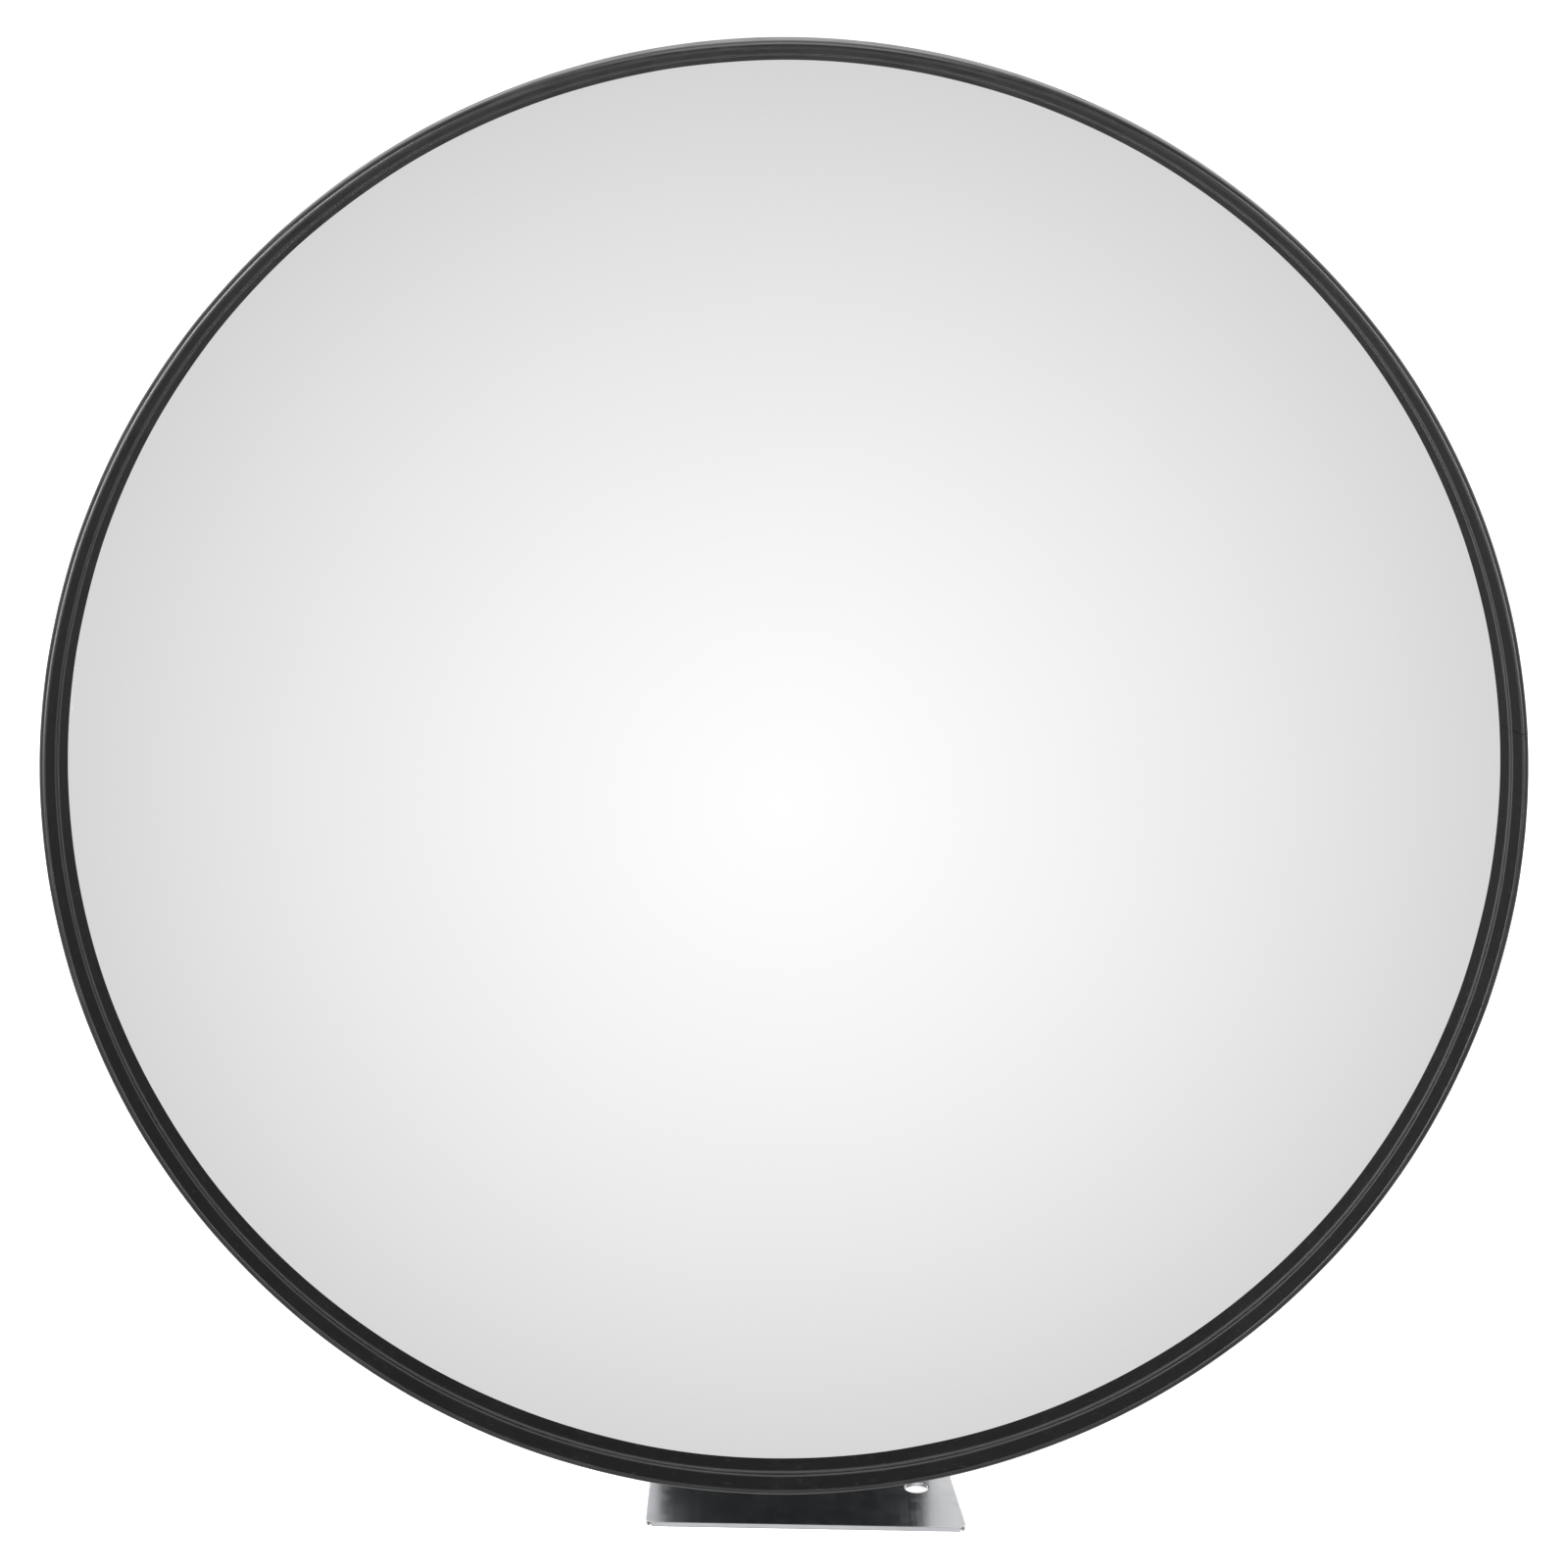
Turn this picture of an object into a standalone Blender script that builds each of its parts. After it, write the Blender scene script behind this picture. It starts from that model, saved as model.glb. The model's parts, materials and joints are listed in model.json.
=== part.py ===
"""Convex security mirror on a galvanised angle bracket, with a swivel and a tilt joint.

Metres, +Z up. The mirror looks along -Y. The origin is on the underside of the bracket's base leg,
below the mirror's middle and 44 mm in front of the upright. Everything that tilts hangs on the empty
tilt_axis, and everything that swivels on the empty swivel_axis, so each of those pieces is modelled
about its own joint.
"""

from math import asin, cos, pi, radians, sin, sqrt, tan

import bmesh
import bpy
from mathutils import Matrix, Vector

MM = 0.001
GAP = 0.3 * MM

# Mirror head. Depths are measured backwards from the crest of the edge trim.
HEAD_RADIUS = 225 * MM
TRIM_WALL = 1.8 * MM
TRIM_NOSE = 2.0 * MM
TRIM_LIP_RADIUS = 220.5 * MM
TRIM_LIP_DEPTH = 7.9 * MM
TRIM_DEPTH = 15.8 * MM
TRIM_LEG = 1.8 * MM
TRIM_LEG_RADIUS = 212.8 * MM
TRIM_JOINT = 0.4 * MM
TRIM_JOINT_HEIGHT = 18 * MM
DOME_RADIUS = 222.8 * MM
DOME_CURVATURE = 800 * MM
DOME_THICKNESS = 2.5 * MM
SHELL_THICKNESS = 2 * MM
SHELL_FLANGE_RADIUS = 210.5 * MM
SHELL_FLAT_RADIUS = 194.5 * MM
SHELL_FLAT_DEPTH = 28 * MM
SHELL_BEAD_RADIUS = 130 * MM
SHELL_BEAD_WIDTH = 12 * MM
SHELL_BEAD_HEIGHT = 3 * MM
SHELL_BOSS_RADIUS = 58 * MM
SHELL_BOSS_HEIGHT = 4 * MM
SHELL_DRAFT = 6 * MM
BACKING_RADIUS = 52 * MM
BACKING_THICKNESS = 1.5 * MM

# Angle bracket. The base leg is not square: its front edge runs forwards to the right, and its right
# side flares out to the front. Its front screw holes follow the front edge.
BRACKET_DEPTH = 88 * MM
LEG_FRONT_LEFT = (-44 * MM, -42 * MM)
LEG_FRONT_RIGHT = (58 * MM, -46 * MM)
UPRIGHT_LEFT = -42 * MM
UPRIGHT_RIGHT = 48 * MM
BRACKET_HEIGHT = 270 * MM
BRACKET_SHEET = 1.5 * MM
BRACKET_BEND = 2.5 * MM
BRACKET_CORNER = 2 * MM
BRACKET_TOP_WIDTH = 64 * MM
BRACKET_TAPER_START = 120 * MM
BRACKET_TAPER_END = 200 * MM
BRACKET_TOP_CORNER = 16 * MM
BRACKET_FILLET = 20 * MM
SCREW_HOLE_RADIUS = 3.8 * MM
SCREW_HOLES = [(-32 * MM, -12 * MM), (43 * MM, -18 * MM), (-32 * MM, 22 * MM), (43 * MM, 22 * MM)]

# Joints
REST_TILT = radians(6)
SWIVEL_HEIGHT = 245 * MM
TILT_Y = 2 * MM
TILT_BEHIND_CREST = 54 * MM

# Sheet parts of the two joints
EAR_RADIUS = 12 * MM
TILT_SHEET = 2 * MM
TILT_BEND = 1.2 * MM
TILT_EAR_FACE = 35 * MM
TILT_PAD_HALF_HEIGHT = 32 * MM
TILT_FLARE = (-6 * MM, -13 * MM)
YOKE_SHEET = 2.5 * MM
YOKE_BEND = 2 * MM
YOKE_WEB_HALF_HEIGHT = 22 * MM
YOKE_FLARE = (20 * MM, 30 * MM)
PAD_BOLT_OFFSET = 20 * MM

# Fasteners: (shank radius, across flats, head height, nut height, washer radius, washer thickness)
M6 = (3 * MM, 10 * MM, 4 * MM, 6 * MM, 6 * MM, 1.4 * MM)
M8 = (4 * MM, 13 * MM, 5.3 * MM, 8 * MM, 8 * MM, 1.6 * MM)
FRICTION_WASHER_RADIUS = 9 * MM
FRICTION_WASHER_THICKNESS = 1.5 * MM
THRUST_WASHER_RADIUS = 14 * MM
THREAD_END = 2 * MM
SPRING_SLOT = 1.2 * MM
SPRING_SLANT = radians(25)
SPRING_OUTER = 0.92
SWIVEL_SPRING_THICKNESS = 2 * MM
COLLAR_HEIGHT = 2 * MM
COLLAR_RADIUS = 0.44
CROWN_RADIUS = 0.57
CROWN_TAPER = 0.8

ROUND_STEPS = 64
DOME_RINGS = 6
SMALL_STEPS = 16
SMOOTH_ANGLE = radians(35)
CUTTER_REACH = 400 * MM
DRILL_REACH = 8 * MM
BLANK_REACH = 60 * MM
SHEET_REACH = 45 * MM
EAR_ROUNDING = 0.99


# Scene and materials


def clear_scene():
    for obj in list(bpy.data.objects):
        bpy.data.objects.remove(obj)


def new_collection(name):
    collection = bpy.data.collections.new(name)
    bpy.context.scene.collection.children.link(collection)
    return collection


def material(name, colour, roughness, metallic):
    made = bpy.data.materials.new(name)
    made.use_nodes = True
    shader = made.node_tree.nodes["Principled BSDF"]
    shader.inputs["Base Color"].default_value = (*colour, 1)
    shader.inputs["Roughness"].default_value = roughness
    shader.inputs["Metallic"].default_value = metallic
    return made


def axis_empty(name, location, tilt=0.0, parent=None):
    empty = bpy.data.objects.new(name, None)
    PARTS.objects.link(empty)
    empty.location = location
    empty.rotation_euler = (-tilt, 0, 0)
    empty.parent = parent
    return empty


# Outlines and profiles


def rounded(corners, steps=4):
    """The points of a closed outline, from corners (x, y, radius)."""
    points = []
    for i, (x, y, radius) in enumerate(corners):
        corner = Vector((x, y))
        if not radius:
            points.append(corner)
            continue
        before = (Vector(corners[i - 1][:2]) - corner).normalized()
        after = (Vector(corners[(i + 1) % len(corners)][:2]) - corner).normalized()
        half = before.angle(after) / 2
        centre = corner + (before + after).normalized() * radius / sin(half)
        spoke = corner + before * radius / tan(half) - centre
        last = corner + after * radius / tan(half) - centre
        side = 1 if spoke.x * last.y > spoke.y * last.x else -1
        sweep = side * spoke.angle(last)
        for step in range(steps + 1):
            points.append(centre + Matrix.Rotation(sweep * step / steps, 2) @ spoke)
    return points


def sphere_arc(radius, centre_depth, angle, steps):
    """Profile points (radius, depth) of a cap, from its edge at the angle in to the axis."""
    angles = [angle * (1 - step / steps) for step in range(steps + 1)]
    return [(radius * sin(a), centre_depth - radius * cos(a)) for a in angles]


def new_object(name, mesh, collection=None):
    obj = bpy.data.objects.new(name, mesh)
    (collection or PARTS).objects.link(obj)
    return obj


def mesh_from(name, bm):
    mesh = bpy.data.meshes.new(name)
    bm.to_mesh(mesh)
    bm.free()
    return mesh


def smooth(mesh):
    mesh.shade_smooth()
    mesh.set_sharp_from_angle(angle=SMOOTH_ANGLE)


# Solids


def turned(name, profile, steps=ROUND_STEPS):
    """A turned solid about local Z. The profile (radius, depth) runs from front to back on its outer
    side, and depth runs along -Z. A profile that misses the axis closes on itself into a ring."""
    on_axis = profile[0][0] == 0
    bm = bmesh.new()
    verts = [bm.verts.new((radius, 0, -depth)) for radius, depth in profile]
    for first, second in zip(verts, verts[1:] + ([] if on_axis else verts[:1])):
        bm.edges.new((first, second))
    obj = new_object(name, mesh_from(name, bm))
    screw = obj.modifiers.new("turn", "SCREW")
    screw.axis = "Z"
    screw.angle = 2 * pi
    screw.steps = screw.render_steps = steps
    screw.use_merge_vertices = True
    screw.merge_threshold = 1e-5
    screw.use_smooth_shade = True
    return obj


def prism(name, outline, half_depth):
    """A closed prism with its outline in local X and Y, reaching half_depth to each side."""
    curve = bpy.data.curves.new(name, "CURVE")
    curve.dimensions = "2D"
    curve.fill_mode = "BOTH"
    curve.extrude = half_depth
    spline = curve.splines.new("POLY")
    spline.points.add(len(outline) - 1)
    for point, (x, y) in zip(spline.points, outline):
        point.co = (x, y, 0, 1)
    spline.use_cyclic_u = True
    guide = new_object(name, curve)
    bpy.context.view_layer.update()
    graph = bpy.context.evaluated_depsgraph_get()
    mesh = bpy.data.meshes.new_from_object(guide.evaluated_get(graph))
    bpy.data.objects.remove(guide)
    bpy.data.curves.remove(curve)
    bm = bmesh.new()
    bm.from_mesh(mesh)
    bmesh.ops.remove_doubles(bm, verts=bm.verts, dist=1e-6)
    bmesh.ops.recalc_face_normals(bm, faces=bm.faces)
    bm.to_mesh(mesh)
    bm.free()
    mesh.name = name
    return new_object(name, mesh)


def cylinder(name, radius, low, high, segments=SMALL_STEPS):
    """A closed cylinder about local Z, from height low to height high."""
    bm = bmesh.new()
    bmesh.ops.create_cone(
        bm, cap_ends=True, segments=segments, radius1=radius, radius2=radius, depth=high - low
    )
    bmesh.ops.translate(bm, verts=bm.verts, vec=(0, 0, (low + high) / 2))
    return new_object(name, mesh_from(name, bm))


def box(name, low, high):
    bm = bmesh.new()
    bmesh.ops.create_cube(bm, size=1)
    size = Vector(high) - Vector(low)
    bmesh.ops.scale(bm, vec=size, verts=bm.verts)
    bmesh.ops.translate(bm, vec=Vector(low) + size / 2, verts=bm.verts)
    return new_object(name, mesh_from(name, bm))


def hexagon(name, across_flats, low, high):
    return cylinder(name, across_flats / sqrt(3), low, high, segments=6)


# Placing and cutting


def place(obj, colour, parent=None, location=(0, 0, 0), rotation=(0, 0, 0)):
    obj.location = location
    obj.rotation_euler = rotation
    obj.parent = parent
    if colour:
        obj.data.materials.clear()
        obj.data.materials.append(colour)
    return obj


def cut(obj, cutter, operation="DIFFERENCE"):
    """Adds the Boolean, and moves the cutter among the cutters."""
    PARTS.objects.unlink(cutter)
    CUTTERS.objects.link(cutter)
    cutter.hide_render = True
    cutter.display_type = "WIRE"
    boolean = obj.modifiers.new(cutter.name, "BOOLEAN")
    boolean.operation = operation
    boolean.solver = "EXACT"
    boolean.object = cutter


def drill(obj, radius, centre, direction, parent=None):
    """A round hole through the object, along X, Y or Z of the parent's frame."""
    turns = {"X": (0, pi / 2, 0), "Y": (pi / 2, 0, 0), "Z": (0, 0, 0)}
    name = f"{obj.name}_hole_{len(obj.modifiers)}"
    hole = cylinder(name, radius, -DRILL_REACH, DRILL_REACH)
    cut(obj, place(hole, None, parent, centre, turns[direction]))


def shared_mesh(obj):
    """The evaluated mesh of a small piece, for all its copies. The piece itself is removed."""
    bpy.context.view_layer.update()
    graph = bpy.context.evaluated_depsgraph_get()
    mesh = bpy.data.meshes.new_from_object(obj.evaluated_get(graph))
    helpers = [modifier.object for modifier in obj.modifiers if modifier.type == "BOOLEAN"]
    for used in [obj, *helpers]:
        bpy.data.objects.remove(used)
    smooth(mesh)
    return mesh


# Fasteners. Each is made about local Z: a bolt's shank and everything on it run along +Z.


def bolt_mesh(name, size, length):
    shank_radius, across_flats, head_height, *_ = size
    bolt = hexagon(name, across_flats, -head_height, 0)
    crown = cylinder(name + "_crown", across_flats * CROWN_RADIUS, -1.5 * head_height, head_height)
    for vertex in crown.data.vertices:
        if vertex.co.z < 0:
            vertex.co.x *= CROWN_TAPER
            vertex.co.y *= CROWN_TAPER
    cut(bolt, crown, "INTERSECT")
    shank = cylinder(name + "_shank", shank_radius, -head_height / 2, length)
    cut(bolt, shank, "UNION")
    return shared_mesh(bolt)


def nut_mesh(name, size):
    """A lock nut: a hexagon with the round collar of its nylon ring, from z = 0 up."""
    shank_radius, across_flats, _, nut_height, *_ = size
    nut = hexagon(name, across_flats, 0, nut_height - COLLAR_HEIGHT)
    collar = cylinder(name + "_collar", across_flats * COLLAR_RADIUS, nut_height / 2, nut_height)
    cut(nut, collar, "UNION")
    bore = cylinder(name + "_bore", shank_radius + GAP, -1 * MM, nut_height + 1 * MM)
    cut(nut, bore)
    return shared_mesh(nut)


def ring_mesh(name, inner, outer, thickness, slot=0.0):
    """A washer from z = 0 up, split by a slanted slot if it is a spring washer."""
    ring = turned(name, [(outer, -thickness), (outer, 0), (inner, 0), (inner, -thickness)], SMALL_STEPS)
    if slot:
        gap = box(name + "_slot", (0, -slot / 2, -thickness), (2 * outer, slot / 2, 2 * thickness))
        cut(ring, place(gap, None, rotation=(SPRING_SLANT, 0, 0)))
    return shared_mesh(ring)


def stack(rows, start, direction, parent, suffix=""):
    """Places pieces (name, mesh, thickness, material) one after another along a direction, each
    with the running gap to the one before."""
    turn = direction.to_track_quat("Z", "X").to_euler()
    at = Vector(start)
    for name, mesh, thickness, colour in rows:
        at += direction * GAP
        place(new_object(name + suffix, mesh), colour, parent, at, turn)
        at += direction * thickness


# Mirror head, about the tilt axis


def head_piece(obj, colour):
    """Turns a piece made along local Z to face the front, with depth 0 at the trim's crest."""
    return place(obj, colour, TILT_AXIS, (0, -TILT_BEHIND_CREST, 0), (pi / 2, 0, 0))


def dome_edge_depth():
    """Depth of the dome's front edge, so that its face clears the trim's lip by the gap."""
    drop = sqrt(DOME_CURVATURE**2 - TRIM_LIP_RADIUS**2) - sqrt(DOME_CURVATURE**2 - DOME_RADIUS**2)
    return TRIM_LIP_DEPTH + GAP + drop


def make_dome():
    angle = asin(DOME_RADIUS / DOME_CURVATURE)
    centre_depth = dome_edge_depth() + DOME_CURVATURE * cos(angle)
    front = sphere_arc(DOME_CURVATURE, centre_depth, angle, DOME_RINGS)
    back = sphere_arc(DOME_CURVATURE - DOME_THICKNESS, centre_depth, angle, DOME_RINGS)
    head_piece(turned("mirror_dome", front[::-1] + back), MIRROR)


def shell_flange_depth():
    return dome_edge_depth() + DOME_THICKNESS + GAP


def trim_leg_depth():
    return TRIM_DEPTH - TRIM_LEG


def make_trim():
    wall = HEAD_RADIUS - TRIM_WALL
    seat_depth = dome_edge_depth() - GAP
    section = rounded(
        [
            (TRIM_LIP_RADIUS, TRIM_LIP_DEPTH, 0.5 * MM),
            (HEAD_RADIUS - TRIM_NOSE, 0, 0.6 * MM),
            (HEAD_RADIUS, 0, 1.2 * MM),
            (HEAD_RADIUS, TRIM_DEPTH, 0.8 * MM),
            (TRIM_LEG_RADIUS, TRIM_DEPTH, 0),
            (TRIM_LEG_RADIUS, trim_leg_depth(), 0),
            (wall, trim_leg_depth(), 0),
            (wall, seat_depth, 0),
        ],
        steps=3,
    )
    trim = head_piece(turned("edge_trim", section), RUBBER)
    low = (TRIM_LEG_RADIUS - TRIM_DEPTH, TRIM_JOINT_HEIGHT, -2 * TRIM_DEPTH)
    high = (HEAD_RADIUS + TRIM_DEPTH, TRIM_JOINT_HEIGHT + TRIM_JOINT, TRIM_DEPTH)
    cut(trim, head_piece(box("edge_trim_joint", low, high), None))


def shell_profile():
    """The dish in section, along its front face from the axis out, and back along its rear face."""
    flange = shell_flange_depth()
    inner_bead = SHELL_BEAD_RADIUS - SHELL_BEAD_WIDTH / 2
    outer_bead = SHELL_BEAD_RADIUS + SHELL_BEAD_WIDTH / 2
    bead_slope = SHELL_BEAD_HEIGHT
    face = [
        (0, SHELL_FLAT_DEPTH + SHELL_BOSS_HEIGHT),
        (SHELL_BOSS_RADIUS, SHELL_FLAT_DEPTH + SHELL_BOSS_HEIGHT),
        (SHELL_BOSS_RADIUS + SHELL_DRAFT, SHELL_FLAT_DEPTH),
        (inner_bead - bead_slope, SHELL_FLAT_DEPTH),
        (inner_bead, SHELL_FLAT_DEPTH - SHELL_BEAD_HEIGHT),
        (outer_bead, SHELL_FLAT_DEPTH - SHELL_BEAD_HEIGHT),
        (outer_bead + bead_slope, SHELL_FLAT_DEPTH),
        (SHELL_FLAT_RADIUS, SHELL_FLAT_DEPTH),
        (SHELL_FLANGE_RADIUS, flange),
    ]
    rear = [(radius, depth + SHELL_THICKNESS) for radius, depth in face]
    widened = SHELL_THICKNESS * tan(pi / 8)
    rear[-1] = (rear[-1][0] + 2 * widened, rear[-1][1])
    rear[-2] = (rear[-2][0] + 2 * widened, rear[-2][1])
    rear[1] = (rear[1][0] + widened, rear[1][1])
    rear[2] = (rear[2][0] + widened, rear[2][1])
    edge = [(DOME_RADIUS, flange), (DOME_RADIUS, flange + SHELL_THICKNESS)]
    return face + edge + rear[::-1]


def pad_bolt_places():
    return [(x * PAD_BOLT_OFFSET, z * PAD_BOLT_OFFSET) for z in (1, -1) for x in (-1, 1)]


def boss_front_depth():
    return SHELL_FLAT_DEPTH + SHELL_BOSS_HEIGHT


def make_shell():
    shell = head_piece(turned("back_shell", shell_profile()), PLASTIC)
    middle = boss_front_depth() + SHELL_THICKNESS / 2 - TILT_BEHIND_CREST
    for x, z in pad_bolt_places():
        drill(shell, M6[0] + GAP, (x, middle, z), "Y", TILT_AXIS)


def make_backing_plate():
    """Steel disc inside the boss, which spreads the load of the bracket's four bolts."""
    back = boss_front_depth() - GAP
    front = back - BACKING_THICKNESS
    profile = [(0, front), (BACKING_RADIUS, front), (BACKING_RADIUS, back), (0, back)]
    plate = head_piece(turned("backing_plate", profile, 48), ZINC)
    for x, z in pad_bolt_places():
        drill(plate, M6[0] + GAP, (x, front - TILT_BEHIND_CREST, z), "Y", TILT_AXIS)


def eared_side(far, flare, half_height, tip):
    """Side view of a U-shaped sheet: from its far side, over the flare, to a round ear at the tip."""
    flare_start, flare_end = flare
    below = [
        (far, -half_height, 0),
        (flare_end, -half_height, 3.5 * MM),
        (flare_start, -EAR_RADIUS, 4.5 * MM),
        (tip, -EAR_RADIUS, EAR_RADIUS * EAR_ROUNDING),
    ]
    above = [(x, -height, radius) for x, height, radius in reversed(below)]
    return rounded(below + above, steps=6)


def tilt_pad_front():
    """Front face of the tilt bracket's pad, from the tilt axis."""
    return boss_front_depth() + SHELL_THICKNESS + GAP - TILT_BEHIND_CREST


def make_tilt_bracket():
    front = tilt_pad_front()
    outer = TILT_EAR_FACE
    inner = outer - TILT_SHEET
    bent = rounded(
        [
            (-outer, front, TILT_BEND + TILT_SHEET),
            (outer, front, TILT_BEND + TILT_SHEET),
            (outer, EAR_RADIUS, 0),
            (inner, EAR_RADIUS, 0),
            (inner, front + TILT_SHEET, TILT_BEND),
            (-inner, front + TILT_SHEET, TILT_BEND),
            (-inner, EAR_RADIUS, 0),
            (-outer, EAR_RADIUS, 0),
        ]
    )
    bracket = place(prism("tilt_bracket", bent, SHEET_REACH), ZINC, TILT_AXIS)
    side = eared_side(2 * front, TILT_FLARE, TILT_PAD_HALF_HEIGHT, EAR_RADIUS - GAP / 3)
    blank = prism("tilt_bracket_blank", side, BLANK_REACH)
    cut(bracket, place(blank, None, TILT_AXIS, rotation=(pi / 2, 0, pi / 2)), "INTERSECT")
    for side_sign in (-1, 1):
        drill(bracket, M6[0] + GAP, (side_sign * outer, 0, 0), "X", TILT_AXIS)
    for x, z in pad_bolt_places():
        drill(bracket, M6[0] + GAP, (x, front, z), "Y", TILT_AXIS)


def make_pad_bolts():
    """Four bolts from inside the head, through backing plate, shell and pad, with washers and nuts."""
    head_rear = boss_front_depth() - 2 * GAP - BACKING_THICKNESS - TILT_BEHIND_CREST
    pad_rear = tilt_pad_front() + TILT_SHEET
    grip = pad_rear + 2 * GAP + M6[5] + M6[3] + THREAD_END - head_rear
    bolt = bolt_mesh("pad_bolt", M6, grip)
    washer = ring_mesh("pad_washer", M6[0] + GAP, M6[4], M6[5])
    nut = nut_mesh("pad_nut", M6)
    back = Vector((0, 1, 0))
    for number, (x, z) in enumerate(pad_bolt_places(), 1):
        stack([(f"pad_bolt_{number}", bolt, 0, STEEL)], (x, head_rear - GAP, z), back, TILT_AXIS)
        rows = [(f"pad_washer_{number}", washer, M6[5], STEEL), (f"pad_nut_{number}", nut, M6[3], STEEL)]
        stack(rows, (x, pad_rear, z), back, TILT_AXIS)


# Yoke and its two joints, about the swivel axis


def yoke_web_rear():
    """Rear face of the yoke's web, in front of the thrust washer and the bracket's upright leg."""
    upright_front = BRACKET_DEPTH / 2 - BRACKET_SHEET
    return upright_front - FRICTION_WASHER_THICKNESS - 2 * GAP


def yoke_ear_inside():
    return TILT_EAR_FACE + FRICTION_WASHER_THICKNESS + 2 * GAP


def make_yoke():
    """Made about the tilt axis at rest, since its ears carry that axis."""
    rear = yoke_web_rear() - TILT_Y
    inner = yoke_ear_inside()
    outer = inner + YOKE_SHEET
    bent = rounded(
        [
            (outer, rear, YOKE_BEND + YOKE_SHEET),
            (-outer, rear, YOKE_BEND + YOKE_SHEET),
            (-outer, -EAR_RADIUS, 0),
            (-inner, -EAR_RADIUS, 0),
            (-inner, rear - YOKE_SHEET, YOKE_BEND),
            (inner, rear - YOKE_SHEET, YOKE_BEND),
            (inner, -EAR_RADIUS, 0),
            (outer, -EAR_RADIUS, 0),
        ]
    )
    ahead = (0, TILT_Y, 0)
    yoke = place(prism("swivel_yoke", bent, SHEET_REACH), ZINC, SWIVEL_AXIS, ahead)
    side = eared_side(2 * rear, YOKE_FLARE, YOKE_WEB_HALF_HEIGHT, GAP / 3 - EAR_RADIUS)
    blank = prism("swivel_yoke_blank", side, BLANK_REACH)
    cut(yoke, place(blank, None, SWIVEL_AXIS, ahead, (pi / 2, 0, pi / 2)), "INTERSECT")
    for side_sign in (-1, 1):
        drill(yoke, M6[0] + GAP, (side_sign * outer, TILT_Y, 0), "X", SWIVEL_AXIS)
    drill(yoke, M8[0] + GAP, (0, yoke_web_rear(), 0), "Y", SWIVEL_AXIS)


def make_tilt_pivots():
    """On each side a bolt through tilt ear, friction washer and yoke ear, locked from outside."""
    head_rear = TILT_EAR_FACE - TILT_SHEET - GAP
    ear_outside = yoke_ear_inside() + YOKE_SHEET
    spring_thickness = M6[5]
    grip = ear_outside + 3 * GAP + M6[5] + spring_thickness + M6[3] + THREAD_END - head_rear
    hole = M6[0] + GAP
    bolt = bolt_mesh("tilt_bolt", M6, grip)
    friction = ring_mesh("friction_washer", hole, FRICTION_WASHER_RADIUS, FRICTION_WASHER_THICKNESS)
    washer = ring_mesh("tilt_washer", hole, M6[4], M6[5])
    spring = ring_mesh("tilt_spring_washer", hole, M6[4] * SPRING_OUTER, spring_thickness, SPRING_SLOT)
    nut = nut_mesh("tilt_nut", M6)
    for side, sign in (("left", -1), ("right", 1)):
        out = Vector((sign, 0, 0))
        axis_point = Vector((0, TILT_Y, 0))
        suffix = "_" + side
        rows = [("tilt_bolt", bolt, 0, STEEL)]
        stack(rows, axis_point + out * (head_rear - GAP), out, SWIVEL_AXIS, suffix)
        rows = [("friction_washer", friction, FRICTION_WASHER_THICKNESS, FIBRE)]
        stack(rows, axis_point + out * TILT_EAR_FACE, out, SWIVEL_AXIS, suffix)
        rows = [
            ("tilt_washer", washer, M6[5], STEEL),
            ("tilt_spring_washer", spring, spring_thickness, STEEL),
            ("tilt_nut", nut, M6[3], STEEL),
        ]
        stack(rows, axis_point + out * ear_outside, out, SWIVEL_AXIS, suffix)


def make_swivel_joint():
    """The swivel bolt, its thrust washer between web and upright leg, and its lock nut behind."""
    head_rear = yoke_web_rear() - YOKE_SHEET - GAP
    upright_rear = BRACKET_DEPTH / 2
    spring_thickness = SWIVEL_SPRING_THICKNESS
    grip = upright_rear + 3 * GAP + M8[5] + spring_thickness + M8[3] + THREAD_END - head_rear
    hole = M8[0] + GAP
    bolt = bolt_mesh("swivel_bolt", M8, grip)
    thrust = ring_mesh("thrust_washer", hole, THRUST_WASHER_RADIUS, FRICTION_WASHER_THICKNESS)
    washer = ring_mesh("swivel_washer", hole, M8[4], M8[5])
    spring = ring_mesh("swivel_spring_washer", hole, M8[4] * SPRING_OUTER, spring_thickness, SPRING_SLOT)
    nut = nut_mesh("swivel_nut", M8)
    back = Vector((0, 1, 0))
    stack([("swivel_bolt", bolt, 0, STEEL)], (0, head_rear - GAP, 0), back, SWIVEL_AXIS)
    rows = [("thrust_washer", thrust, FRICTION_WASHER_THICKNESS, FIBRE)]
    stack(rows, (0, yoke_web_rear(), 0), back, SWIVEL_AXIS)
    rows = [
        ("swivel_washer", washer, M8[5], STEEL),
        ("swivel_spring_washer", spring, spring_thickness, STEEL),
        ("swivel_nut", nut, M8[3], STEEL),
    ]
    stack(rows, (0, upright_rear, 0), back, SWIVEL_AXIS)


# Angle bracket


def leg_plan():
    """The base leg from above, cut off past the upright."""
    behind = BRACKET_DEPTH / 2 + BRACKET_FILLET
    return rounded(
        [
            (*LEG_FRONT_LEFT, BRACKET_CORNER),
            (*LEG_FRONT_RIGHT, BRACKET_CORNER),
            (UPRIGHT_RIGHT, BRACKET_DEPTH / 2 - BRACKET_BEND, 0),
            (UPRIGHT_RIGHT, behind, 0),
            (UPRIGHT_LEFT, behind, 0),
            (UPRIGHT_LEFT, BRACKET_DEPTH / 2 - BRACKET_BEND, 0),
        ]
    )


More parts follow.
